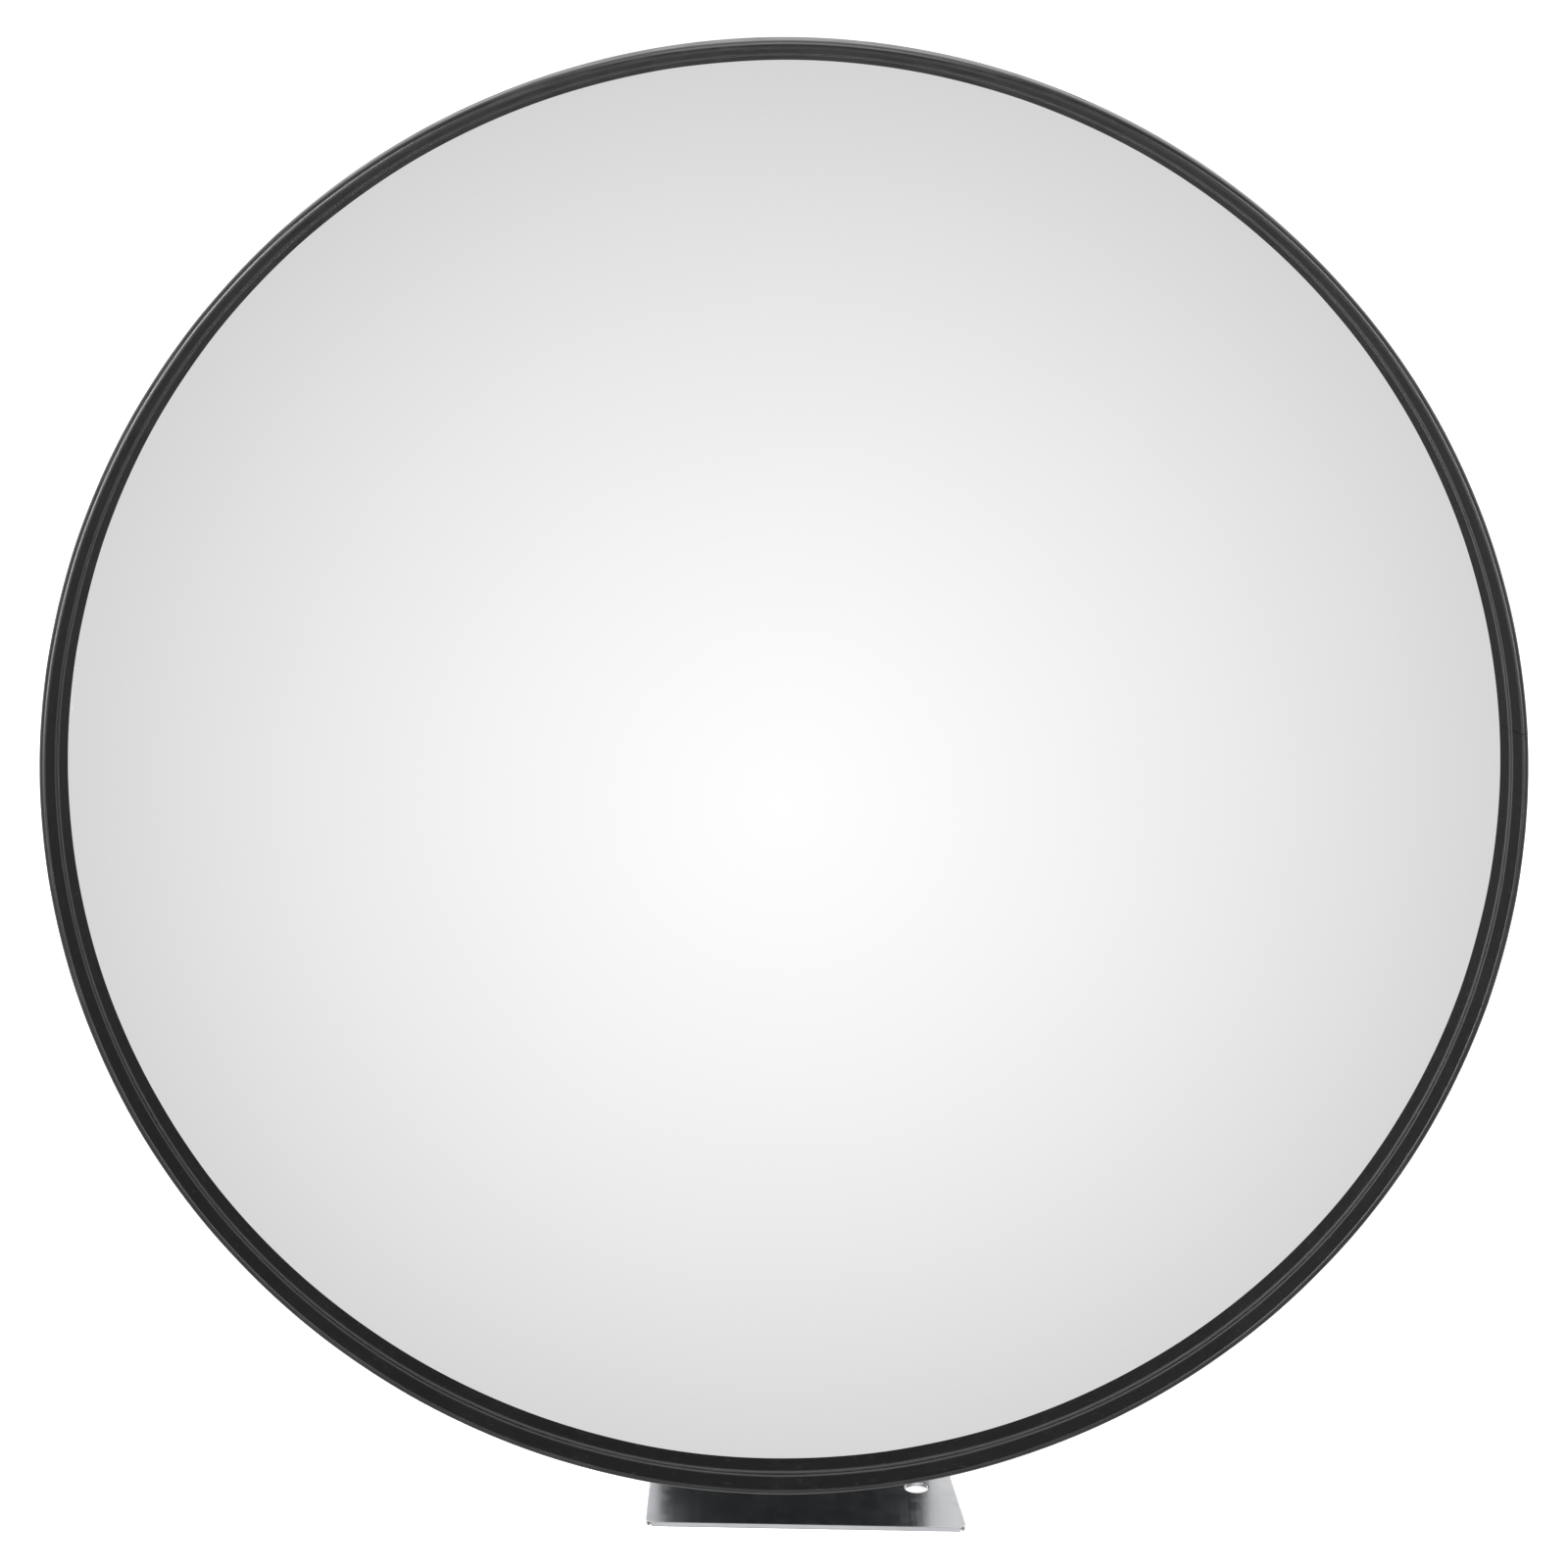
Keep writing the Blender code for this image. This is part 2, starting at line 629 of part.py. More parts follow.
def upright_outline():
    """The upright leg from the front, open below so that the base leg keeps its own outline."""
    top_half = BRACKET_TOP_WIDTH / 2
    below = -BRACKET_FILLET
    return rounded(
        [
            (2 * UPRIGHT_LEFT, below, 0),
            (2 * UPRIGHT_RIGHT, below, 0),
            (2 * UPRIGHT_RIGHT, BRACKET_BEND, 0),
            (UPRIGHT_RIGHT, BRACKET_BEND, 0),
            (UPRIGHT_RIGHT, BRACKET_TAPER_START, BRACKET_FILLET),
            (top_half, BRACKET_TAPER_END, BRACKET_FILLET),
            (top_half, BRACKET_HEIGHT, BRACKET_TOP_CORNER),
            (-top_half, BRACKET_HEIGHT, BRACKET_TOP_CORNER),
            (-top_half, BRACKET_TAPER_END, BRACKET_FILLET),
            (UPRIGHT_LEFT, BRACKET_TAPER_START, BRACKET_FILLET),
            (UPRIGHT_LEFT, BRACKET_BEND, 0),
            (2 * UPRIGHT_LEFT, BRACKET_BEND, 0),
        ]
    )


def make_mounting_bracket():
    front = 1.5 * LEG_FRONT_RIGHT[1]
    rear = BRACKET_DEPTH / 2
    bent = rounded(
        [
            (front, 0, 0),
            (rear, 0, BRACKET_BEND + BRACKET_SHEET),
            (rear, BRACKET_HEIGHT, 0),
            (rear - BRACKET_SHEET, BRACKET_HEIGHT, 0),
            (rear - BRACKET_SHEET, BRACKET_SHEET, BRACKET_BEND),
            (front, BRACKET_SHEET, 0),
        ]
    )
    side_on = (pi / 2, 0, pi / 2)
    bracket = place(prism("mounting_bracket", bent, 2 * UPRIGHT_RIGHT), ZINC, rotation=side_on)
    cut(bracket, prism("mounting_bracket_plan", leg_plan(), CUTTER_REACH), "INTERSECT")
    outline = prism("mounting_bracket_upright", upright_outline(), CUTTER_REACH)
    cut(bracket, place(outline, None, rotation=(pi / 2, 0, 0)), "INTERSECT")
    for x, y in SCREW_HOLES:
        drill(bracket, SCREW_HOLE_RADIUS, (x, y, 0), "Z")
    drill(bracket, M8[0] + GAP, (0, rear, SWIVEL_HEIGHT), "Y")


clear_scene()
PARTS = new_collection("convex_security_mirror")
CUTTERS = new_collection("cutters")

MIRROR = material("silvered_acrylic", (0.92, 0.93, 0.94), 0.02, 1)
RUBBER = material("black_rubber", (0.02, 0.02, 0.02), 0.5, 0)
PLASTIC = material("black_shell_plastic", (0.03, 0.03, 0.03), 0.45, 0)
ZINC = material("galvanised_sheet", (0.55, 0.56, 0.58), 0.35, 1)
STEEL = material("plated_fastener", (0.62, 0.62, 0.6), 0.3, 1)
FIBRE = material("nylon_washer", (0.75, 0.74, 0.7), 0.5, 0)

SWIVEL_AXIS = axis_empty("swivel_axis", (0, 0, SWIVEL_HEIGHT))
TILT_AXIS = axis_empty("tilt_axis", (0, TILT_Y, 0), REST_TILT, SWIVEL_AXIS)

make_dome()
make_trim()
make_shell()
make_backing_plate()
make_tilt_bracket()
make_pad_bolts()
make_yoke()
make_tilt_pivots()
make_swivel_joint()
make_mounting_bracket()
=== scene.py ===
"""Looks of the convex security mirror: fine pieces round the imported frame, their materials, and a
white studio. Metres, +Z up, the mirror looking along -Y, in the frame's own coordinates.
"""

import json
from math import asin, cos, pi, radians, sin, sqrt, tan

import bmesh
import bpy
from mathutils import Matrix, Vector, geometry, noise


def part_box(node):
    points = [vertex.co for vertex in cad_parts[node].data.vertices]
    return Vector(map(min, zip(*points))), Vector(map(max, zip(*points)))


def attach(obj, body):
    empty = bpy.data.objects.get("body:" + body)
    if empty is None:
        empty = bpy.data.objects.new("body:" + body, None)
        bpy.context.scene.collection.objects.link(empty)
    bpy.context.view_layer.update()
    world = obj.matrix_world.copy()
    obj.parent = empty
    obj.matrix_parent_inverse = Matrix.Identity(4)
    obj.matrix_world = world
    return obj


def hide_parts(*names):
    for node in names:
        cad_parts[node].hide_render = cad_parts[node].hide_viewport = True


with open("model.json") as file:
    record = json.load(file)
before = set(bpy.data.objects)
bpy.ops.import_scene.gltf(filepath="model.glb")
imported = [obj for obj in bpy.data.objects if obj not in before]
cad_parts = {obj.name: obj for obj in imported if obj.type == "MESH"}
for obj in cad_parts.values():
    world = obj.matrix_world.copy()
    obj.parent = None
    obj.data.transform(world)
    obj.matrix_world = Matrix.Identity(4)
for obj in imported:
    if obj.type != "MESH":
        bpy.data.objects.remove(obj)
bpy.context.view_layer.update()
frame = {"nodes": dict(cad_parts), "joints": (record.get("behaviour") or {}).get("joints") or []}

MM = 0.001
JOINTS = {joint["name"]: joint for joint in frame["joints"]}
TILT_POINT = Vector(JOINTS["tilt"]["pos_m"])
SWIVEL_POINT = Vector(JOINTS["swivel"]["pos_m"])
REST_TILT = radians(6)

# Mirror head, in section. Depths are measured backwards from the crest of the edge trim.
CREST_AHEAD = 54 * MM
HEAD_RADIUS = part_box("edge_trim")[1].x
LIP_RADIUS = 220.5 * MM
LIP_DEPTH = 7.9 * MM
TRIM_NOSE = 2.2 * MM
TRIM_ROUNDING = (2.0 * MM, 3.0 * MM)
TRIM_DEPTH = 15.8 * MM
TRIM_WALL = 1.8 * MM
TRIM_LEG_RADIUS = 212.8 * MM
# Corner radii of the section: at its lip, crest, back and leg
TRIM_CORNERS = (0.5 * MM, 0.25 * MM, 0.8 * MM, 0.3 * MM)
TRIM_JOINT = 0.15 * MM
TRIM_JOINT_HEIGHT = 18 * MM
TRIM_RIPPLE_IN = 0.12 * MM
TRIM_RIPPLE_BACK = 0.25 * MM
TRIM_RIPPLE_FADE = 4 * MM
DOME_RADIUS = 222.8 * MM
DOME_CURVATURE = 800 * MM
DOME_THICKNESS = 2.5 * MM
DOME_EDGE_DEPTH = 8.86 * MM
SHELL_THICKNESS = 2 * MM
SHELL_FLANGE_DEPTH = 11.66 * MM
SHELL_FLANGE_RADIUS = 210.5 * MM
SHELL_FLAT_RADIUS = 194.5 * MM
SHELL_FLAT_DEPTH = 28 * MM
SHELL_BEAD = (121 * MM, 124 * MM, 136 * MM, 139 * MM)
SHELL_BEAD_HEIGHT = 3 * MM
SHELL_BOSS_RADIUS = 58 * MM
SHELL_BOSS_HEIGHT = 4 * MM
SHELL_DRAFT = 6 * MM
SHELL_CORNER = 1.5 * MM

# Sheet parts
EAR_RADIUS = 12 * MM
SHEET_EDGE = 0.3 * MM
BRACKET_SHEET = 1.5 * MM
BRACKET_BEND = 2.5 * MM
BRACKET_CORNER = 2 * MM
BRACKET_TOP_WIDTH = 64 * MM
BRACKET_TAPER = (120 * MM, 200 * MM)
BRACKET_TOP_CORNER = 16 * MM
BRACKET_FILLET = 20 * MM
LEG_FRONT_LEFT = (-44 * MM, -42 * MM)
LEG_FRONT_RIGHT = (58 * MM, -46 * MM)
UPRIGHT_LEFT = -42 * MM
UPRIGHT_RIGHT = 48 * MM
SCREW_HOLE_RADIUS = 3.8 * MM
SCREW_HOLES = [(-32 * MM, -12 * MM), (43 * MM, -18 * MM), (-32 * MM, 22 * MM), (43 * MM, 22 * MM)]
YOKE_SHEET = 2.5 * MM
YOKE_BEND = 2 * MM
TILT_SHEET = 2 * MM
TILT_BEND = 1.2 * MM
TILT_PAD_DEPTH = 34.3 * MM
TILT_PAD_HALF_HEIGHT = 32 * MM
# How far past an ear's hole the sheet starts and ends widening, and its corner radii there.
YOKE_FLARE = (20 * MM, 30 * MM)
TILT_FLARE = (6 * MM, 13 * MM)
FLARE_CORNERS = (4.5 * MM, 3.5 * MM)

# Fasteners: (shank radius, across flats, head height, collar height, thread pitch)
M6 = (3 * MM, 10 * MM, 4 * MM, 2 * MM, 1 * MM)
M8 = (4 * MM, 13 * MM, 5.3 * MM, 2 * MM, 1.25 * MM)
PAD_BOLTS = [(x * 20 * MM, z * 20 * MM) for z in (1, -1) for x in (-1, 1)]
HOLE_GAP = 0.3 * MM
# Radii as a share of the width across flats: blunt corner, chamfer, underside of a head, a head's
# dished top, and a lock nut's collar.
HEX_CORNER = 0.985 / sqrt(3)
HEX_CHAMFER = 0.475
HEX_UNDERSIDE = 0.49
HEX_DISH = (0.3, 0.34)
NUT_COLLAR = 0.44
DISH_DEPTH = 0.25 * MM
THREAD_LENGTH = 14 * MM
THREAD_TIP = 0.8 * MM

# Places: the head's own axes about the tilt axis, and the same turned so that Z looks forwards.
HEAD = Matrix.Translation(TILT_POINT) @ Matrix.Rotation(-REST_TILT, 4, "X")
FACE = HEAD @ Matrix.Translation((0, -CREST_AHEAD, 0)) @ Matrix.Rotation(pi / 2, 4, "X")
BACKWARDS = Matrix.Rotation(-pi / 2, 4, "X")


# Materials

# A painted highlight along the rubber's lip: a paler strip, which fades out between these distances
# from the start of the section
LIP_HIGHLIGHT_COLOUR = (0.05, 0.05, 0.05)
LIP_HIGHLIGHT_IN_MM = (1.1, 1.9)


def new_material(name, roughness=0.5, metallic=0.0, **more):
    """A Principled material. The values here are the same all over the surface."""
    made = bpy.data.materials.new(name)
    made.use_nodes = True
    shader = made.node_tree.nodes["Principled BSDF"]
    shader.inputs["Roughness"].default_value = roughness
    shader.inputs["Metallic"].default_value = metallic
    for socket, value in more.items():
        shader.inputs[socket.replace("_", " ").title()].default_value = value
    return made


def link(tree, output, target):
    tree.links.new(output, target)


def coordinates(tree, stretch=(1, 1, 1), turn=(0, 0, 0), attribute=None):
    """Object coordinates, or a named attribute of the mesh, stretched and turned."""
    if attribute:
        source = tree.nodes.new("ShaderNodeAttribute")
        source.attribute_name = attribute
        output = source.outputs["Vector"]
    else:
        output = tree.nodes.new("ShaderNodeTexCoord").outputs["Object"]
    mapping = tree.nodes.new("ShaderNodeMapping")
    mapping.inputs["Scale"].default_value = stretch
    mapping.inputs["Rotation"].default_value = turn
    link(tree, output, mapping.inputs["Vector"])
    return mapping.outputs["Vector"]


def grain(tree, vector, scale, detail=3.0, distortion=0.0):
    node = tree.nodes.new("ShaderNodeTexNoise")
    node.inputs["Scale"].default_value = scale
    node.inputs["Detail"].default_value = detail
    node.inputs["Distortion"].default_value = distortion
    link(tree, vector, node.inputs["Vector"])
    return node.outputs["Fac"]


def cells(tree, vector, scale):
    node = tree.nodes.new("ShaderNodeTexVoronoi")
    node.inputs["Scale"].default_value = scale
    link(tree, vector, node.inputs["Vector"])
    return node.outputs


def spread(tree, value, low, high, new_low, new_high):
    """Maps a value from one range to another, held at its ends."""
    node = tree.nodes.new("ShaderNodeMapRange")
    for socket, number in zip(node.inputs[1:5], (low, high, new_low, new_high)):
        socket.default_value = number
    link(tree, value, node.inputs["Value"])
    return node.outputs["Result"]


def blend(tree, factor, first, second):
    """A colour between two, each a colour or an output."""
    node = tree.nodes.new("ShaderNodeMix")
    node.data_type = "RGBA"
    link(tree, factor, node.inputs["Factor"])
    for socket, colour in ((node.inputs["A"], first), (node.inputs["B"], second)):
        found = [s for s in node.inputs if s.name == socket.name and s.type == "RGBA"][0]
        if isinstance(colour, tuple):
            found.default_value = (*colour, 1)
        else:
            link(tree, colour, found)
    return [s for s in node.outputs if s.type == "RGBA"][0]


def combine(tree, operation, first, second):
    node = tree.nodes.new("ShaderNodeMath")
    node.operation = operation
    for socket, value in zip(node.inputs, (first, second)):
        if isinstance(value, (int, float)):
            socket.default_value = value
        else:
            link(tree, value, socket)
    return node.outputs["Value"]


def bump(tree, height, distance, strength=1.0, under=None):
    node = tree.nodes.new("ShaderNodeBump")
    node.inputs["Distance"].default_value = distance
    node.inputs["Strength"].default_value = strength
    link(tree, height, node.inputs["Height"])
    if under:
        link(tree, under, node.inputs["Normal"])
    return node.outputs["Normal"]


def edge_mask(tree, radius, low=0.01, high=0.12):
    """1 along convex and concave edges, where plating rubs through, and 0 on flat faces."""
    bevel = tree.nodes.new("ShaderNodeBevel")
    bevel.samples = 4
    bevel.inputs["Radius"].default_value = radius
    normal = tree.nodes.new("ShaderNodeNewGeometry").outputs["Normal"]
    dot = tree.nodes.new("ShaderNodeVectorMath")
    dot.operation = "DOT_PRODUCT"
    link(tree, bevel.outputs["Normal"], dot.inputs[0])
    link(tree, normal, dot.inputs[1])
    return spread(tree, combine(tree, "SUBTRACT", 1.0, dot.outputs["Value"]), low, high, 0, 1)


def finish_shader(made, colour=None, roughness=None, normal=None):
    tree = made.node_tree
    shader = tree.nodes["Principled BSDF"]
    for output, socket in ((colour, "Base Color"), (roughness, "Roughness"), (normal, "Normal")):
        if output:
            link(tree, output, shader.inputs[socket])
    return made


def silvered_acrylic():
    """Acrylic silvered behind: a clean mirror, with the faint haze that wiping leaves."""
    made = new_material("mirror_finish", 0.01, 1.0, coat_weight=0.6, coat_roughness=0.02)
    tree = made.node_tree
    haze = grain(tree, coordinates(tree), 9, 4, 0.6)
    wiped = grain(tree, coordinates(tree, (1, 1, 0.12), (0, 0.5, 0)), 160, 2)
    marks = combine(tree, "MULTIPLY", spread(tree, haze, 0.45, 0.8, 0, 1), wiped)
    hazy = spread(tree, haze, 0.3, 0.8, 0, 1)
    colour = blend(tree, hazy, (0.925, 0.925, 0.925), (0.915, 0.915, 0.915))
    roughness = spread(tree, marks, 0, 1, 0.006, 0.05)
    normal = bump(tree, grain(tree, coordinates(tree), 5, 0), 0.02 * MM, 0.3)
    return finish_shader(made, colour, roughness, normal)


def rubber(name, roughness, specular, dark, light):
    """Extruded rubber, with drawing lines along it, fine grain, a few dull rubs and a painted highlight
    as a paler strip on the lip.
    """
    made = new_material(name, roughness)
    tree = made.node_tree
    tree.nodes["Principled BSDF"].inputs["Specular IOR Level"].default_value = specular
    lines = grain(tree, coordinates(tree, (4, 1100, 1), attribute="along"), 1, 2)
    fine = grain(tree, coordinates(tree), 1900, 2)
    rubs = grain(tree, coordinates(tree, (14, 60, 1), attribute="along"), 1, 5, 0.8)
    dust = spread(tree, grain(tree, coordinates(tree), 420, 3), 0.62, 0.78, 0, 1)
    worn = spread(tree, rubs, 0.5, 0.72, 0, 1)
    across = tree.nodes.new("ShaderNodeSeparateXYZ")
    link(tree, coordinates(tree, (1, 1 / MM, 1), attribute="along"), across.inputs["Vector"])
    # Mask of the painted highlight: a paler strip along the lip's edge
    lip = spread(tree, across.outputs["Y"], *LIP_HIGHLIGHT_IN_MM, 1, 0)
    colour = blend(tree, worn, dark, light)
    colour = blend(tree, combine(tree, "MULTIPLY", dust, 0.3), colour, (0.04, 0.04, 0.039))
    colour = blend(tree, lip, colour, LIP_HIGHLIGHT_COLOUR)
    shine = spread(tree, worn, 0, 1, roughness - 0.06, roughness + 0.06)
    shine = combine(tree, "ADD", shine, spread(tree, lines, 0, 1, -0.04, 0.04))
    drawn = bump(tree, lines, 0.05 * MM, 0.5)
    normal = bump(tree, fine, 0.03 * MM, 0.5, drawn)
    return finish_shader(made, colour, shine, normal)


def black_rubber():
    """The outside of the section, which handling has polished to a satin."""
    return rubber("rubber_finish", 0.36, 0.5, (0.008, 0.008, 0.0082), (0.014, 0.014, 0.0142))


def dull_rubber():
    """A darker, less shiny copy of the rubber for the slope down to the lip: painted shade there."""
    return rubber("rubber_slope_painted_shade", 0.6, 0.05, (0.005, 0.005, 0.005), (0.009, 0.009, 0.009))


def black_shell_plastic():
    """Moulded black plastic with a fine grained face, lightly scuffed."""
    made = new_material("moulded_finish", 0.45)
    tree = made.node_tree
    leather = cells(tree, coordinates(tree), 900)["Distance"]
    broad = grain(tree, coordinates(tree), 14, 5, 0.4)
    scuffs = grain(tree, coordinates(tree, (1, 1, 0.15), (0.4, 0.9, 0)), 260, 2)
    patches = spread(tree, broad, 0.52, 0.7, 0, 1)
    scuffed = combine(tree, "MULTIPLY", patches, spread(tree, scuffs, 0.55, 0.7, 0, 1))
    faded = spread(tree, broad, 0.35, 0.7, 0, 1)
    colour = blend(tree, faded, (0.017, 0.017, 0.018), (0.026, 0.026, 0.027))
    colour = blend(tree, combine(tree, "MULTIPLY", scuffed, 0.5), colour, (0.075, 0.075, 0.075))
    roughness = spread(tree, broad, 0.3, 0.7, 0.4, 0.52)
    moulded = bump(tree, leather, 0.05 * MM, 0.6)
    normal = bump(tree, grain(tree, coordinates(tree), 700, 2), 0.06 * MM, 0.5, moulded)
    return finish_shader(made, colour, roughness, normal)


def galvanised_sheet():
    """Rolled sheet, zinc plated: rolling lines, faint spangle, and brighter metal where edges rub."""
    made = new_material("galvanised_finish", 0.3, 1.0)
    tree = made.node_tree
    rolled = grain(tree, coordinates(tree, (1400, 10, 10)), 1, 2)
    spangle = cells(tree, coordinates(tree), 190)["Color"]
    cloud = grain(tree, coordinates(tree), 26, 5, 0.5)
    stain = spread(tree, grain(tree, coordinates(tree), 60, 6, 0.3), 0.56, 0.75, 0, 1)
    edges = edge_mask(tree, 0.5 * MM)
    clouded = spread(tree, cloud, 0.3, 0.7, 0, 1)
    colour = blend(tree, clouded, (0.5, 0.51, 0.53), (0.62, 0.63, 0.65))
    flake = tree.nodes.new("ShaderNodeSeparateColor")
    link(tree, spangle, flake.inputs["Color"])
    flakes = flake.outputs["Red"]
    colour = blend(tree, spread(tree, flakes, 0, 1, 0, 0.16), colour, (0.74, 0.75, 0.77))
    colour = blend(tree, combine(tree, "MULTIPLY", stain, 0.25), colour, (0.36, 0.36, 0.37))
    colour = blend(tree, edges, colour, (0.78, 0.78, 0.79))
    roughness = spread(tree, rolled, 0.3, 0.7, 0.16, 0.2)
    roughness = combine(tree, "ADD", roughness, spread(tree, flakes, 0, 1, 0, 0.04))
    lines = bump(tree, rolled, 0.002 * MM, 0.5)
    normal = bump(tree, grain(tree, coordinates(tree), 24, 0), 0.15 * MM, 0.2, lines)
    return finish_shader(made, colour, roughness, normal)


def plated_fastener():
    """Bright zinc on cold-headed steel, with a trace of yellow and blue, and dulled edges."""
    made = new_material("plated_finish", 0.3, 1.0)
    tree = made.node_tree
    tint = spread(tree, grain(tree, coordinates(tree), 120, 3, 0.5), 0.35, 0.65, 0, 1)
    dull = spread(tree, grain(tree, coordinates(tree), 420, 5), 0.45, 0.7, 0, 1)
    edges = edge_mask(tree, 0.35 * MM)
    colour = blend(tree, tint, (0.64, 0.635, 0.6), (0.6, 0.62, 0.66))
    colour = blend(tree, combine(tree, "MULTIPLY", dull, 0.5), colour, (0.42, 0.42, 0.41))
    colour = blend(tree, edges, colour, (0.74, 0.74, 0.73))
    roughness = spread(tree, dull, 0, 1, 0.2, 0.42)
    normal = bump(tree, grain(tree, coordinates(tree), 1500, 3), 0.03 * MM, 0.5)
    return finish_shader(made, colour, roughness, normal)


def nylon_washer():
    """Natural nylon, off white and waxy, with rubbed grey where metal has turned on it."""
    made = new_material("nylon_finish", 0.45, 0.0, subsurface_weight=0.15)
    made.node_tree.nodes["Principled BSDF"].inputs["Subsurface Scale"].default_value = 1 * MM
    tree = made.node_tree
    rubbed = spread(tree, grain(tree, coordinates(tree), 300, 4, 0.5), 0.5, 0.75, 0, 1)
    colour = blend(tree, rubbed, (0.76, 0.75, 0.7), (0.52, 0.51, 0.48))
    roughness = spread(tree, rubbed, 0, 1, 0.4, 0.58)
    normal = bump(tree, grain(tree, coordinates(tree), 1400, 2), 0.02 * MM, 0.4)
    return finish_shader(made, colour, roughness, normal)


MATERIALS = {
    make.__name__: make()
    for make in (
        silvered_acrylic,
        black_rubber,
        dull_rubber,
        black_shell_plastic,
        galvanised_sheet,
        plated_fastener,
        nylon_washer,
    )
}


# Outlines and meshes


def rounded(corners, steps=8):
    """The points of a closed outline, from corners (x, y, radius)."""
    points = []
    for i, (x, y, radius) in enumerate(corners):
        corner = Vector((x, y))
        if not radius:
            points.append(corner)
            continue
        before = (Vector(corners[i - 1][:2]) - corner).normalized()
        after = (Vector(corners[(i + 1) % len(corners)][:2]) - corner).normalized()
        half = before.angle(after) / 2
        centre = corner + (before + after).normalized() * radius / sin(half)
        spoke = corner + before * radius / tan(half) - centre
        last = corner + after * radius / tan(half) - centre
        side = 1 if spoke.x * last.y > spoke.y * last.x else -1
        sweep = side * spoke.angle(last)
        for step in range(steps + 1):
            points.append(centre + Matrix.Rotation(sweep * step / steps, 2) @ spoke)
    return points


def circle(x, y, radius, steps=48):
    """A hole's outline, clockwise."""
    angles = [-2 * pi * step / steps for step in range(steps)]
    return [Vector((x + radius * cos(a), y + radius * sin(a))) for a in angles]


def inset(loop, distance):
    """A closed outline moved to its left, which is into the material."""
    moved = []
    for i, point in enumerate(loop):
        before = (point - loop[i - 1]).normalized()
        after = (loop[(i + 1) % len(loop)] - point).normalized()
        left = Vector((-before.y - after.y, before.x + after.x))
        moved.append(point + left * distance / (1 + before.dot(after)))
    return moved


def piece(name, bm, body, slot, nodes, sharp=radians(35)):
    """The finished object: smooth shaded, on its body, with its material, standing for CAD nodes."""
    bmesh.ops.recalc_face_normals(bm, faces=bm.faces)
    mesh = bpy.data.meshes.new(name)
    bm.to_mesh(mesh)
    bm.free()
    mesh.shade_smooth()
    mesh.set_sharp_from_angle(angle=sharp)
    mesh.materials.append(MATERIALS[slot])
    obj = bpy.data.objects.new(name, mesh)
    bpy.context.scene.collection.objects.link(obj)
    weighted = obj.modifiers.new("flat_faces", "WEIGHTED_NORMAL")
    weighted.keep_sharp = True
    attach(obj, body)
    if nodes:
        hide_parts(*nodes)
    return obj


def at_angle(value, angle):
    return value(angle) if callable(value) else value


def turned(rows, where, steps=96, sweep=2 * pi, start=0.0):
    """Turns rows of (radius, height) about the local Z of a place. Either may be a function of the
    angle. Rows that miss the axis close on themselves, and a part turn has flat ends."""
    whole = sweep > 2 * pi - 1e-6
    count = steps if whole else steps + 1
    bm = bmesh.new()
    along = bm.verts.layers.float_vector.new("along")
    rings = []
    length = 0.0
    for i, (radius, height) in enumerate(rows):
        ring = []
        if i:
            last = Vector([at_angle(value, start) for value in rows[i - 1]])
            this = Vector([at_angle(value, start) for value in (radius, height)])
            length += (this - last).length
        for step in range(count):
            if radius == 0 and ring:
                ring.append(ring[0])
                continue
            angle = start + sweep * step / steps
            r = at_angle(radius, angle)
            point = Vector((r * cos(angle), r * sin(angle), at_angle(height, angle)))
            vert = bm.verts.new(where @ point)
            vert[along] = (angle, length, 0)
            ring.append(vert)
        rings.append(ring)
    on_axis = rows[0][0] == 0
    for first, second in zip(rings, rings[1:] + ([] if on_axis else rings[:1])):
        for step in range(steps):
            after = (step + 1) % count
            corners = [first[step], first[after], second[after], second[step]]
            bm.faces.new(list(dict.fromkeys(corners)))
    if not whole:
        bm.faces.new([ring[0] for ring in rings])
        bm.faces.new([ring[-1] for ring in rings])
    return bm


def follow(start, heading, moves, distance):
    """The point and the left-hand normal at a distance along a folded sheet's middle line, whose
    moves are (length, angle turned)."""
    point = Vector(start)
    for i, (length, bend) in enumerate(moves):
        part = distance if i == len(moves) - 1 else min(distance, length)
        if bend:
            radius = length / bend
            turned_to = heading + bend * part / length
            point += radius * (side_of(heading) - side_of(turned_to))
            heading = turned_to
        else:
            point += part * Vector((cos(heading), sin(heading)))
        distance -= part
        if distance <= 0:
            break
    return point, side_of(heading)


def side_of(heading):
    return Vector((-sin(heading), cos(heading)))


def sheet_rows(thickness):
    """(inset, height) round a sheet's edge, from its upper face to its lower one."""
    angles = [pi / 2 * step / 3 for step in range(4)]
    upper = [(SHEET_EDGE * (1 - sin(a)), thickness / 2 - SHEET_EDGE * (1 - cos(a))) for a in angles]
    return upper + [(inward, -height) for inward, height in reversed(upper)]


